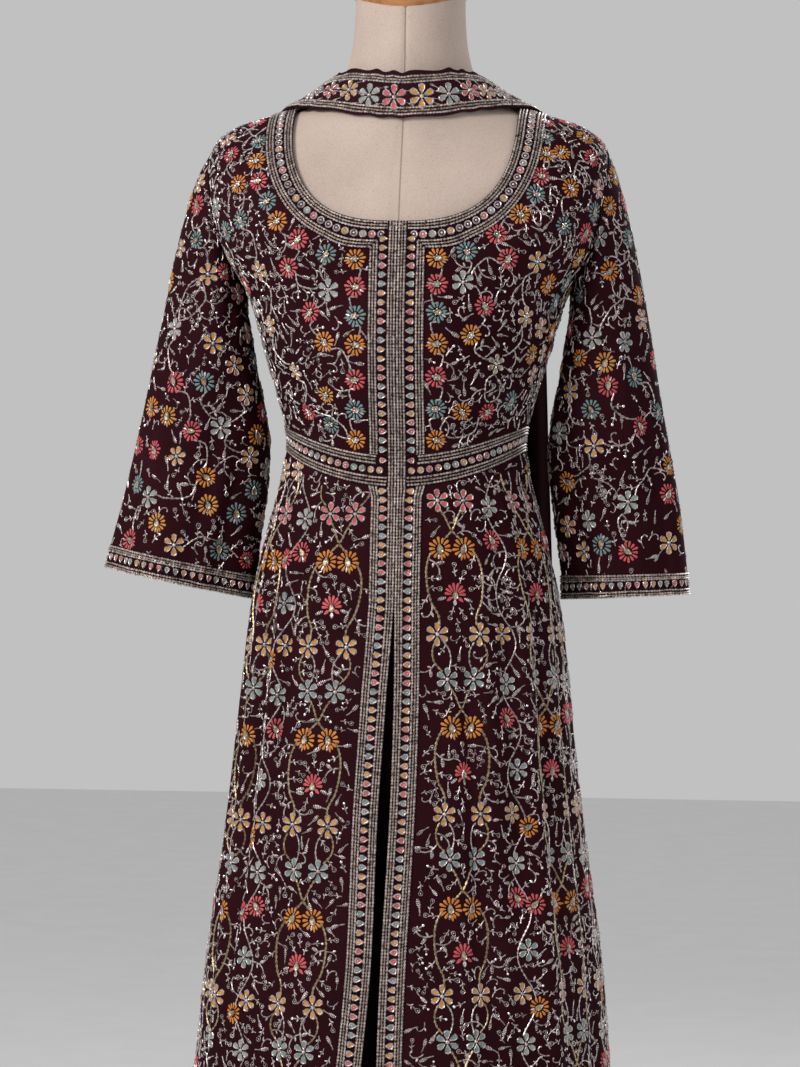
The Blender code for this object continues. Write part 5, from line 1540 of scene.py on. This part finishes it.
MOTIFS = {
    "daisy": daisy(), "fan": fan(), "bud": bud(), "drop": drop(), "jewel": jewel(), "glints": glints(),
    "curl": sprig(
        [(1.4, -5.6), (0.3, -2.4), (0.0, 2.6)],
        [(0.0, 4.2, 1.5, 50, (0.1, -1.4)), (0.0, 3.4, 1.3, -50, (0.2, -2.6))],
        loop=((0.0, 2.2), 0),
    ),
    "leaf": sprig([(-1.8, -5.6), (-0.6, -2.4), (0.2, 1.2)], barred=(0.6, 10.4, 4.6, 8)),
    "shine": sprig(
        [(1.4, -5.6), (0.2, -1.6), (0.0, 4.4)],
        [(0.0, 4.0, 1.5, 50, (0.1, -1.0)), (0.0, 4.0, 1.5, -50, (0.1, -1.0))],
        bead=(0.0, 6.0, 1.5, 0.8, "shine"),
    ),
    "tendril": sprig(
        [(2.6, -6.6), (0.4, -3.6), (-0.8, 0.0), (-0.2, 3.8), (2.2, 6.2), (5.0, 5.8)],
        [(0.0, 5.0, 2.0, -52, (-0.6, -1.6))],
        bead=(5.4, 4.8, 1.1, 0.7, "ring"),
    ),
    "right_branch": branch(1), "left_branch": branch(-1),
}
REACH = {"daisy": 0.0112, "fan": 0.0108, "bud": 0.0105}
PETAL_REACH = 0.72
SPRIGS = ["curl", "leaf", "curl", "tendril", "shine", "curl", "leaf"]
BRANCHES = ["right_branch", "left_branch"]
# Room that a sprig's ends need, and the room that they then take
SPRIG_ROOM = 0.0019
SPRIG_REACH = 0.0029
# Side of the boxes in which taken places are looked up
CELL = 0.026


def path_length(path):
    return np.concatenate([[0], np.cumsum(np.linalg.norm(np.diff(path, axis=0), axis=1))])


def along(path, place):
    """Points of a path at these distances from its start."""
    lengths = path_length(path)
    return np.stack([np.interp(place, lengths, path[:, axis]) for axis in range(3)], axis=-1)


def fine(path):
    """The same path in short steps."""
    return along(path, np.arange(0, path_length(path)[-1], 0.0012))


def curve_through(places, count=16):
    """A smooth path through a few places."""
    return smooth(np.asarray(places, float), np.linspace(0, len(places) - 1, count))


class Sewing:
    """Everything sewn onto one cloth, gathered into one piece."""

    def __init__(self, name):
        self.name = name
        self.cloth = CLOTHS[name]
        self.points = []
        self.faces = []
        self.threads = []
        self.taken = defaultdict(list)
        self.flowers = []

    def snapped(self, point):
        return self.cloth.tree.find_nearest(point)[:2]

    def gather(self, points, faces, threads):
        start = len(self.points)
        self.points.extend(points)
        self.faces.extend(tuple(index + start for index in face) for face in faces)
        self.threads.extend(threads)

    def motif(self, name, centre, up, colour="silver", size=1.0, turn=0.0):
        """Sews a motif with its middle at centre and its top toward up, turned clockwise by turn degrees."""
        motif = MOTIFS[name]
        place, normal = self.snapped(centre)
        up = Vector(up)
        up = (up - normal * up.dot(normal)).normalized()
        right = up.cross(normal)
        tilt = math.radians(turn)
        top = up * math.cos(tilt) + right * math.sin(tilt)
        side = top.cross(normal)
        scale = size * MM
        points = []
        for across, up_from, high in motif.points:
            found = self.snapped(place + side * (across * scale) + top * (up_from * scale))[0]
            points.append(found + normal * (high * MM + BED))
        shown = {"ring": "silver", "fill": colour, "heart": "gold", "stem": "silver", "shine": "sequin"}
        self.gather(points, motif.faces, [shown[part] for part in motif.parts])

    def flower(self, name, centre, colour, size=1.0, turn=0.0):
        self.motif(name, centre, (0, 0, 1), colour, size, turn)
        self.take(centre, REACH[name] * size)
        self.flowers.append((centre, REACH[name] * size * PETAL_REACH))

    def take(self, place, reach):
        place = tuple(float(part) for part in place)
        self.taken[tuple(int(part // CELL) for part in place)].append((place, reach))

    def free(self, place, reach):
        home = [int(float(part) // CELL) for part in place]
        for step in np.ndindex(3, 3, 3):
            near = self.taken.get(tuple(part + move - 1 for part, move in zip(home, step)), ())
            if any(math.dist(place, other) < size + reach for other, size in near):
                return False
        return True

    def sprig(self, name, spot, up, size):
        """Sews a sprig round spot, its head toward up, where there is room for its foot and its head."""
        up = unit(np.asarray(up, float))
        long = 9.0 if name in BRANCHES else 6.0
        ends = [np.asarray(spot) + up * reach * size * MM for reach in (-2.6, (long - 2.6) / 2, long)]
        if not all(self.free(end, SPRIG_ROOM) for end in ends):
            return False
        self.motif(name, spot, up, size=size)
        for end in ends:
            self.take(end, SPRIG_REACH * size)
        return True

    def line(self, path, thread, width=0.0016, height=0.001, step=0.0015, uneven=0.45, keep=0.0):
        """A corded line along a path of points, thicker and thinner stitch by stitch."""
        path = np.asarray(path, float)
        length = path_length(path)[-1]
        spots = along(path, np.linspace(0, length, max(2, int(length / step) + 1)))
        run = unit(np.gradient(spots, axis=0))
        points = []
        for index, spot in enumerate(spots):
            found, normal = self.snapped(spot)
            swell = 1 + uneven * (1 if index % 2 else -1)
            side = Vector(run[index]).cross(normal).normalized() * (width / 2 * swell)
            low = found + normal * BED
            points += [low - side, found + normal * (height * swell + BED), low + side]
        faces = ribbon_faces(len(spots))
        self.gather(points, faces, [thread] * len(faces))
        if keep:
            for spot in spots[:: max(1, int(0.0035 / step))]:
                self.take(spot, keep)

    def vine(self, path, thread, width, keep=0.001):
        """A line that passes under the flowers on its way."""
        path = fine(path)
        shown = np.array([
            all(math.dist(spot, flower) > reach for flower, reach in self.flowers) for spot in path
        ])
        for run in np.split(np.arange(len(path)), np.flatnonzero(np.diff(shown.astype(int))) + 1):
            if shown[run[0]] and len(run) > 2:
                self.line(path[run], thread, width, width * 0.5, 0.0021, 0.36, keep)

    def row(self, path, border, toward, colours=ROW_COLOURS):
        """A border's motifs at even steps along a path, their tops to one side of it, colours by turns."""
        motif, pitch, size = BORDER_ROWS[border]
        for index, place in enumerate(np.arange(pitch / 2, path_length(path)[-1], pitch)):
            spot = along(path, place)
            run = along(path, place + 0.002) - along(path, place - 0.002)
            side = np.cross(run, np.array(self.snapped(spot)[1])) * toward
            self.motif(motif, spot, side, colours[index % len(colours)], size)

    def twigs(self, path, spacing, rng):
        """Sprigs and branches by turns on either side of a vine, where there is room."""
        end = path_length(path)[-1]
        place = spacing * rng.uniform(0.3, 0.8)
        side = 1
        while place < end:
            spot = along(path, place)
            run = unit(along(path, place + 0.002) - spot + 1e-9)
            across = np.cross(run, np.array(self.snapped(spot)[1]))
            for turn in (side, -side):
                up = unit(across * turn + run * rng.uniform(0.1, 0.9))
                size = rng.uniform(0.84, 1.04)
                names = BRANCHES if rng.random() < 0.35 else SPRIGS
                if self.sprig(names[rng.integers(len(names))], spot + up * 0.006 * size, up, size):
                    break
            side = -side
            place += spacing * rng.uniform(0.7, 1.1)

    def finish(self, name=None):
        used = [thread for thread in THREADS if thread in set(self.threads)]
        made = mesh_object(
            f"embroidery_{name or self.name}", [tuple(point) for point in self.points], self.faces,
            [THREADS[thread] for thread in used], 70,
        )
        slots = np.array([used.index(thread) for thread in self.threads], dtype=np.int32)
        made.data.polygons.foreach_set("material_index", slots)
        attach(made, BODY)
        self.cloth.sewn.append(made)


# Patterns


def sew_lines(sewing, lines, width=1.0, step=0.0015):
    """Lines down a border, by their distance from its first edge."""
    for offset, thread in lines:
        sewing.line(sewing.cloth.down(offset / width), thread, step=step)


def sew_front_border(hand, side):
    """Neck border and placket of one side; the lines down the middle start at the neckline."""
    on_neck = Sewing(f"neck_border_{side}")
    on_placket = Sewing(f"placket_{side}")
    neck = on_neck.cloth
    placket = on_placket.cloth
    for offset, thread in CENTRE_LINES + OUTER_LINES:
        path = fine(neck.down(offset / BORDER_WIDTH))
        on_neck.line(path[np.abs(path[:, 0]) > CENTRE_BAND], thread)
        if offset < CENTRE_BAND:
            corner = path[-1]
            on_placket.line([corner, corner * [0, 1, 1] + [hand * CENTRE_BAND, 0, 0]], thread)
    for offset, thread in CENTRE_LINES:
        start = placket.at(0.0, offset / BORDER_WIDTH * BORDER_COLUMNS)
        on_neck.line([neck.grid[-1, 0] + [hand * offset, 0, 0], start], thread)
    sew_lines(on_placket, CENTRE_LINES + OUTER_LINES, BORDER_WIDTH)
    on_neck.row(neck.down(BORDER_MIDDLE), "neck", -hand, NECK_COLOURS)
    on_placket.row(placket.down(BORDER_MIDDLE), "placket", -hand)
    on_neck.finish()
    on_placket.finish()


def sew_waist_border(name):
    """The waistband's lines and jewels; in front the placket's middle lines run on through it."""
    sewing = Sewing(f"waistband_{name}")
    cloth = sewing.cloth
    deep = len(cloth.grid) - 1
    middle = fine(cloth.across(deep / 2))
    centre = cloth.grid[:, cloth.grid.shape[1] // 2]
    for hand in (-1, 1):
        for offset, thread in WAIST_LINES:
            path = fine(cloth.across(offset / WAIST_DEPTH * deep))
            bare = 0.0 if name == "back" else OUTER_LINES[0][0] if offset < WAIST_DEPTH / 2 else CENTRE_BAND
            sewing.line(path[path[:, 0] * hand >= bare], thread)
        bare = CENTRE_BAND if name == "front" else 0.0
        sewing.row(middle[middle[:, 0] * hand >= bare], "waist", 1.0)
        if name == "front":
            for offset, thread in CENTRE_LINES:
                sewing.line(centre + [hand * offset, 0, 0], thread)
            sewing.motif("drop", centre[1] + [hand * PLACKET_MIDDLE, 0, 0], (hand, 0, 0), "coral", 0.88)
    sewing.finish()


def sew_slit_border(hand, side):
    sewing = Sewing(f"slit_border_{side}")
    sew_lines(sewing, SLIT_LINES, SLIT_BORDER_WIDTH)
    sewing.row(sewing.cloth.down(SLIT_MIDDLE), "slit", -hand)
    sewing.finish()


def sew_cuff(hand, side):
    sewing = Sewing(f"cuff_border_{side}")
    deep = len(sewing.cloth.grid) - 1
    for share, thread in CUFF_LINES:
        sewing.line(sewing.cloth.across(share * deep), thread)
    sewing.row(sewing.cloth.across(CUFF_MIDDLE * deep), "cuff", hand)
    sewing.finish(f"cuff_{side}")


def leaning(around, lean):
    """A direction that leans by an angle from straight up."""
    return unit(around) * math.sin(lean) + np.array([0.0, 0.0, math.cos(lean)])


def pixel_ray(x, y, behind=False):
    """Start and direction of the camera's ray through a pixel of the photograph, or mirrored from behind."""
    scale = LENS_MM / SENSOR_MM * PICTURE_HEIGHT
    look = Vector(((x - PICTURE_WIDTH / 2) / scale, -(y - PICTURE_HEIGHT / 2) / scale, -1.0))
    start = CAMERA.matrix_world.translation.copy()
    run = (CAMERA.matrix_world.to_3x3() @ look).normalized()
    if behind:
        start.y = -start.y
        run.y = -run.y
    return start, run


def sew_flowers(sewing, table, behind=False):
    """Flowers placed by the photograph's pixels, found on the cloth; returns their places."""
    found = []
    for flower in table:
        start, run = pixel_ray(flower.x, flower.y, behind)
        place, normal, _, _ = sewing.cloth.tree.ray_cast(start, run)
        if place is None or normal.dot(run) > -0.12:
            continue
        found.append((place, flower))
        lean = 0.0 if flower.kind == "daisy" else flower.lean
        sewing.flower(flower.kind, place, flower.colour, flower.size, -lean if behind else lean)
    return found


def join_flowers(sewing, found, rng, spacing=0.0085):
    """Vines from each flower to the nearest one lower down, bowed by turns to either side, with sprigs."""
    places = [np.array(place) for place, _ in found]
    bow = 1
    paths = []
    for here in sorted(places, key=lambda place: -place[2]):
        near = [(math.dist(here, other), other) for other in places if other[2] < here[2] - JOIN_FALL]
        near = [pair for pair in near if JOIN_NEAR < pair[0] < JOIN_FAR]
        if not near:
            continue
        gap, there = min(near, key=lambda pair: pair[0])
        run = unit(there - here)
        across = np.cross(run, np.array(sewing.snapped((here + there) / 2)[1])) * gap * bow
        bends = [here + run * gap * 0.35 + across * 0.2, here + run * gap * 0.7 + across * 0.12]
        path = curve_through([here + run * JOIN_START, *bends, there - run * JOIN_START])
        sewing.vine(path, "silver", 0.0015)
        paths.append(path)
        bow = -bow
    for path in paths:
        sewing.twigs(path, spacing, rng)


def fill_cloth(sewing, rng, part, first_column=0.0, last_column=None, flowers=True, cloth=None):
    """What is left of the cloth: here and there a flower, and sprigs in the gaps."""
    spacing = FILL_PITCH[part]
    cloth = cloth or sewing.cloth
    rows = len(cloth.grid)
    heights = path_length(cloth.grid[:, cloth.grid.shape[1] // 2])
    for gap in (STREWN_PITCH, spacing) if flowers else (spacing,):
        for index, place in enumerate(np.arange(gap * 0.6, heights[-1] - gap * 0.3, gap * 0.866)):
            row = float(np.interp(place, heights, np.arange(rows)))
            arc = path_length(cloth.across(row))
            places = np.arange(len(arc))
            ends = [first_column, len(arc) - 1 if last_column is None else last_column]
            start, end = np.interp(ends, places, arc)
            for across in np.arange(start + gap * (0.3 if index % 2 else 0.8), end - gap * 0.35, gap):
                column = float(np.interp(across + rng.uniform(-0.15, 0.15) * gap, arc, places))
                near_row = row + rng.uniform(-0.15, 0.15) * gap / heights[-1] * rows
                spot = cloth.at(min(max(near_row, 0), rows - 1.001), column)
                if gap > spacing:
                    if sewing.free(spot, STREWN_ROOM):
                        kind = ("daisy", "fan")[rng.integers(2)]
                        colour = FLOWER_COLOURS[rng.integers(len(FLOWER_COLOURS))]
                        sewing.flower(kind, spot, colour, rng.uniform(0.86, 0.98), rng.uniform(-30, 30))
                    continue
                for _ in range(3):
                    name = SPRIGS[rng.integers(len(SPRIGS))]
                    up = leaning(np.array([-spot[1], spot[0], 0.0]), rng.uniform(0, 2 * math.pi))
                    if sewing.sprig(name, spot, up, rng.uniform(0.74, 1.0)):
                        break


def sew_bodice_work():
    rng = np.random.default_rng(SEEDS["bodice"])
    for _, side in SIDES:
        sewing = Sewing(f"bodice_front_{side}")
        found = sew_flowers(sewing, BODICE_FLOWERS[side])
        join_flowers(sewing, found, rng)
        for place, flower in found:
            sewing.motif("glints", place, (0, 0, 1), size=flower.size, turn=flower.lean)
        fill_cloth(sewing, rng, "bodice", BORDER_COLUMNS + 0.5)
        sewing.finish()


def sew_sleeve_work():
    rng = np.random.default_rng(SEEDS["sleeve"])
    for _, side in SIDES:
        sewing = Sewing(f"sleeve_{side}")
        for place in sewing.cloth.grid[-CUFF_ROWS + 1 :, ::3].reshape(-1, 3)[::2]:
            sewing.take(place, 0.004)
        for behind in (False, True):
            found = sew_flowers(sewing, SLEEVE_FLOWERS[side], behind)
            join_flowers(sewing, found, rng, 0.0105)
        fill_cloth(sewing, rng, "sleeve")
        sewing.finish()


class Width:
    """A stretch of the skirt between two columns: things are placed by share of its width and by height."""

    def __init__(self, cloth, first, last):
        self.cloth = cloth
        self.ends = [first, last]

    def place(self, share, across, z):
        """A point at a share of the width (by length), moved across by metres, at height z."""
        cloth = self.cloth
        rows = np.arange(len(cloth.grid))
        columns = np.arange(cloth.grid.shape[1])
        column = self.ends[0] + share * (self.ends[1] - self.ends[0])
        for _ in range(2):
            heights = cloth.at(rows, np.full(len(rows), column))[:, 2]
            row = float(np.interp(-z, -heights, rows))
            arc = path_length(cloth.across(row))
            begin, end = np.interp(self.ends, columns, arc)
            column = float(np.interp(begin + share * (end - begin) + across, arc, columns))
        return cloth.at(row, column)

    def top(self, share):
        """Height of the skirt's top edge at this share of its width."""
        return float(self.cloth.at(0.0, self.ends[0] + share * (self.ends[1] - self.ends[0]))[2])


def sew_trellis(sewing, width, share, start_z, rng):
    """A column of crossing gold vines with paired flowers, from the waistband to the hem."""
    limit = width.top(share)
    for repeat in range(-1, REPEATS):
        top = start_z - repeat * REPEAT

        def place(across, down):
            return width.place(share, across, top - down * REPEAT)

        def between(down, low, high):
            return SKIRT_HEM_Z + low < top - down * REPEAT < limit - high

        for flower in TRELLIS_FLOWERS:
            for hand in (-1, 1) if flower.across else (1,):
                if between(flower.down, 0.014, 0.013):
                    spot = place(hand * flower.across + rng.uniform(-0.0012, 0.0012), flower.down)
                    colour = "coral" if repeat < 0 and flower.colour == "teal" else flower.colour
                    lean = hand * flower.lean + rng.uniform(-6, 6)
                    sewing.flower(flower.kind, spot, colour, flower.size, lean)
        for vine in TRELLIS_VINES:
            for hand in (-1, 1):
                shown = [spot for spot in vine.places if between(spot[1], 0.006, 0.004)]
                spots = [place(hand * across, down) for across, down in shown]
                if len(spots) > 2:
                    path = curve_through(spots, 4 * len(spots))
                    sewing.vine(path, vine.thread, vine.width)
                    sewing.twigs(path, vine.twig_spacing, rng)
        for across, down, name, turn in TRELLIS_SPRIGS:
            for hand in (-1, 1) if across else (1,):
                if between(down, 0.012, 0.01):
                    around = place(hand * across + 0.004, down) - place(hand * across - 0.004, down)
                    up = leaning(around, math.radians(hand * turn))
                    sewing.sprig(name, place(hand * across, down), up, 0.9)


def sew_spray(sewing, width, share, start_z, rng):
    """A column between the trellises: a silver vine that swings from side to side, with flowers on it."""
    top_z = width.top(share) - 0.006

    def swing(z):
        return SPRAY_SWING * math.sin((start_z - z) / REPEAT * 4 * math.pi)

    path = np.array([width.place(share, swing(z), z) for z in np.arange(top_z, SKIRT_HEM_Z + 0.008, -0.012)])
    for repeat in range(-1, REPEATS):
        for flower in SPRAY_FLOWERS:
            z = start_z - (repeat + flower.down) * REPEAT
            if SKIRT_HEM_Z + 0.014 < z < top_z - 0.006:
                spot = width.place(share, flower.across + swing(z) * 0.4, z)
                if sewing.free(spot, REACH[flower.kind] * flower.size * PETAL_REACH):
                    sewing.flower(flower.kind, spot, flower.colour, flower.size, flower.lean)
    path = curve_through(path, 3 * len(path))
    sewing.vine(path, "silver", 0.0014)
    sewing.twigs(path, 0.01, rng)


def sew_skirt_part(sewing, first, last, side, trellises, sprays, rng):
    """The trellises and sprays of one stretch of the skirt."""
    width = Width(sewing.cloth, first, last)
    for share in trellises:
        sew_trellis(sewing, width, share, TRELLIS_START[side], rng)
    for share in sprays:
        sew_spray(sewing, width, share, TRELLIS_START[side], rng)


def sew_skirt_work():
    rng = np.random.default_rng(SEEDS["skirt"])
    for _, side in SIDES:
        sewing = Sewing(f"skirt_front_{side}")
        grid = sewing.cloth.grid
        for place in grid[::3, : BORDER_COLUMNS + 1 : 3].reshape(-1, 3):
            sewing.take(place, 0.0035)
        sew_skirt_part(sewing, 0.0, grid.shape[1] - 1.0, side, TRELLIS_SHARES, SPRAY_SHARES, rng)
        fill_cloth(sewing, rng, "skirt", BORDER_COLUMNS + 0.6, flowers=False)
        sewing.finish()
    for _, side in SIDES:
        sewing = Sewing("skirt_back")
        columns = sewing.cloth.grid.shape[1] - 1.0
        ends = (columns / 2, 0.0 if side == "right" else columns)
        sew_skirt_part(sewing, *ends, side, BACK_TRELLIS_SHARES, BACK_SPRAY_SHARES, rng)
        fill_cloth(sewing, rng, "skirt_back", min(ends), max(ends), False)
        sewing.finish(f"skirt_back_{side}")


def to_middle(path):
    """A path carried on to the centre back."""
    return np.append(path, path[-1:] * [0.0, 1.0, 1.0], axis=0)


def sew_back_work():
    """The back of the bodice: its neck border, and flowers like those of the front."""
    rng = np.random.default_rng(SEEDS["back"])
    border = Sewing("neck_border_back")
    sewing = Sewing("bodice_back")
    for hand, half in border.cloth.halves.items():
        along_neck = Grid(half[: NECK_ROWS + 1])
        for offset, thread in CENTRE_LINES + OUTER_LINES:
            border.line(to_middle(along_neck.down(offset / BORDER_WIDTH)), thread)
        middle = to_middle(along_neck.down(BORDER_MIDDLE))[::-1]
        border.row(middle, "neck", -hand, NECK_COLOURS)
        for place in half[::2, ::2].reshape(-1, 3):
            sewing.take(place, 0.004)
    border.finish()
    for _, side in SIDES:
        shown = [
            flower for flower in BODICE_FLOWERS[side]
            if flower.y > BACK_FLOWERS_BELOW or abs(flower.x - MIDDLE_PIXEL) > BACK_FLOWERS_BESIDE
        ]
        join_flowers(sewing, sew_flowers(sewing, shown, behind=True), rng)
    for half in sewing.cloth.halves.values():
        fill_cloth(sewing, rng, "back", cloth=Grid(half))
    sewing.finish()


def sew_scarf_work():
    """Zari lines along both edges of the scarf, and its row of flowers with leaves between."""
    sewing = Sewing("dupatta_neck")
    sew_lines(sewing, SCARF_LINES)
    for place, _ in sew_flowers(sewing, SCARF_FLOWERS):
        for lean in (-118, -62, 62, 118):
            turn = math.radians(lean)
            spot = np.array(place) + np.array([0.015 * math.sin(turn), 0.0, 0.0125 * math.cos(turn)])
            if sewing.free(spot, 0.001):
                sewing.motif("leaf", spot, (math.sin(turn), 0.0, 0.5 * math.cos(turn)), size=0.62)
                sewing.take(spot, 0.003)
    middle = sewing.cloth.down(0.5)
    length = path_length(middle)[-1]
    first = length / 2 + SCARF_FLOWERS_FROM
    for index, place in enumerate(np.arange(first, length - 0.006, SCARF_FLOWERS_PITCH)):
        for distance in (place, length - place):
            sewing.flower("daisy", along(middle, distance), FLOWER_COLOURS[index % 4], 0.85)
    sewing.finish()
    for _, side in SIDES:
        sewing = Sewing(f"dupatta_tail_{side}")
        rows, columns = sewing.cloth.grid.shape[:2]
        sew_lines(sewing, TAIL_LINES, step=0.0024)
        for row, thread in ((rows - 1.8, "cord"), (rows - 2.8, "antique"), (rows - 6.0, "cord")):
            sewing.line(sewing.cloth.across(row), thread)
        for index, row in enumerate(range(6, rows - 8, 3)):
            spot = sewing.cloth.at(float(row), TAIL_FLOWER_SHARES[index % 2] * (columns - 1))
            sewing.flower("daisy", spot, FLOWER_COLOURS[index % 4], 0.8)
            for lean in (-1, 1):
                sewing.sprig("leaf", spot + [0.013 * lean, 0.0, -0.006], (lean, 0.0, -0.6), 0.9)
        sewing.finish()


# Picture


def set_camera():
    """The photograph's camera: level, a little to the right of the front, far away."""
    camera = bpy.data.cameras.new("camera")
    camera.lens = LENS_MM
    camera.sensor_width = SENSOR_MM
    camera.sensor_fit = "AUTO"
    camera.dof.use_dof = False
    camera.clip_end = 50.0
    placed = bpy.data.objects.new("camera", camera)
    right = Vector((math.cos(CAMERA_TURN), math.sin(CAMERA_TURN), 0.0))
    toward = Vector((-math.sin(CAMERA_TURN), math.cos(CAMERA_TURN), 0.0))
    spot = -toward * CAMERA_DISTANCE + right * CAMERA_ASIDE + Vector((0.0, 0.0, CAMERA_Z))
    turn = Matrix((right, Vector((0, 0, 1)), -toward)).transposed()
    roll = Matrix.Rotation(CAMERA_ROLL, 3, "Z")
    placed.matrix_world = Matrix.Translation(spot) @ (turn @ roll).to_4x4()
    bpy.context.scene.collection.objects.link(placed)
    bpy.context.scene.camera = placed
    return placed


def add_light(name, spot, target, width, power, colour):
    light = bpy.data.lights.new(name, "AREA")
    light.shape = "SQUARE"
    light.size = width
    light.energy = power
    light.color = colour
    placed = bpy.data.objects.new(name, light)
    placed.location = spot
    placed.rotation_euler = (Vector(target) - Vector(spot)).to_track_quat("-Z", "Y").to_euler()
    bpy.context.scene.collection.objects.link(placed)


def set_stage():
    """A plain pale floor and backdrop, a soft key from the upper left, a weak fill from the right."""
    world = bpy.data.worlds.new("studio")
    world.use_nodes = True
    sky = world.node_tree.nodes["Background"]
    sky.inputs["Color"].default_value = (0.95, 0.95, 0.96, 1.0)
    sky.inputs["Strength"].default_value = 0.56
    bpy.context.scene.world = world
    for light in LIGHTS:
        add_light(*light)
    corners = [(x * FLOOR_REACH, y * FLOOR_REACH, FLOOR_Z) for x, y in ((-1, -1), (1, -1), (1, 1), (-1, 1))]
    pale = grained("pale_floor", (0.74, 0.74, 0.74), (0.8, 0.8, 0.8), 0.7, 300.0, 0.0001)
    floor = mesh_object("floor", corners, [(0, 1, 2, 3)], [pale])
    bpy.context.scene.view_settings.view_transform = "Standard"


def declare_cuts():
    """Goes through the cloth of each cut and lists what is sewn onto it; the list is not kept."""
    for cut in CUTS:
        for side in ("left", "right") if "{}" in cut.cloth else ("",):
            cloth = CLOTHS[cut.cloth.format(side)]
            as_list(cloth.sewn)


CAMERA = set_camera()
set_stage()
FRONT = bodice_quarter(1)
BACK = bodice_quarter(-1)
sew_bodice(FRONT, BACK)
sew_waistband(FRONT, BACK)
sew_skirt(FRONT, BACK)
sew_sleeves(FRONT, BACK)
sew_trousers()
sew_scarf()
build_form()
build_stand()
for HAND, SIDE in SIDES:
    sew_front_border(HAND, SIDE)
    sew_slit_border(HAND, SIDE)
    sew_cuff(HAND, SIDE)
sew_waist_border("front")
sew_waist_border("back")
sew_bodice_work()
sew_sleeve_work()
sew_skirt_work()
sew_back_work()
sew_scarf_work()
declare_cuts()
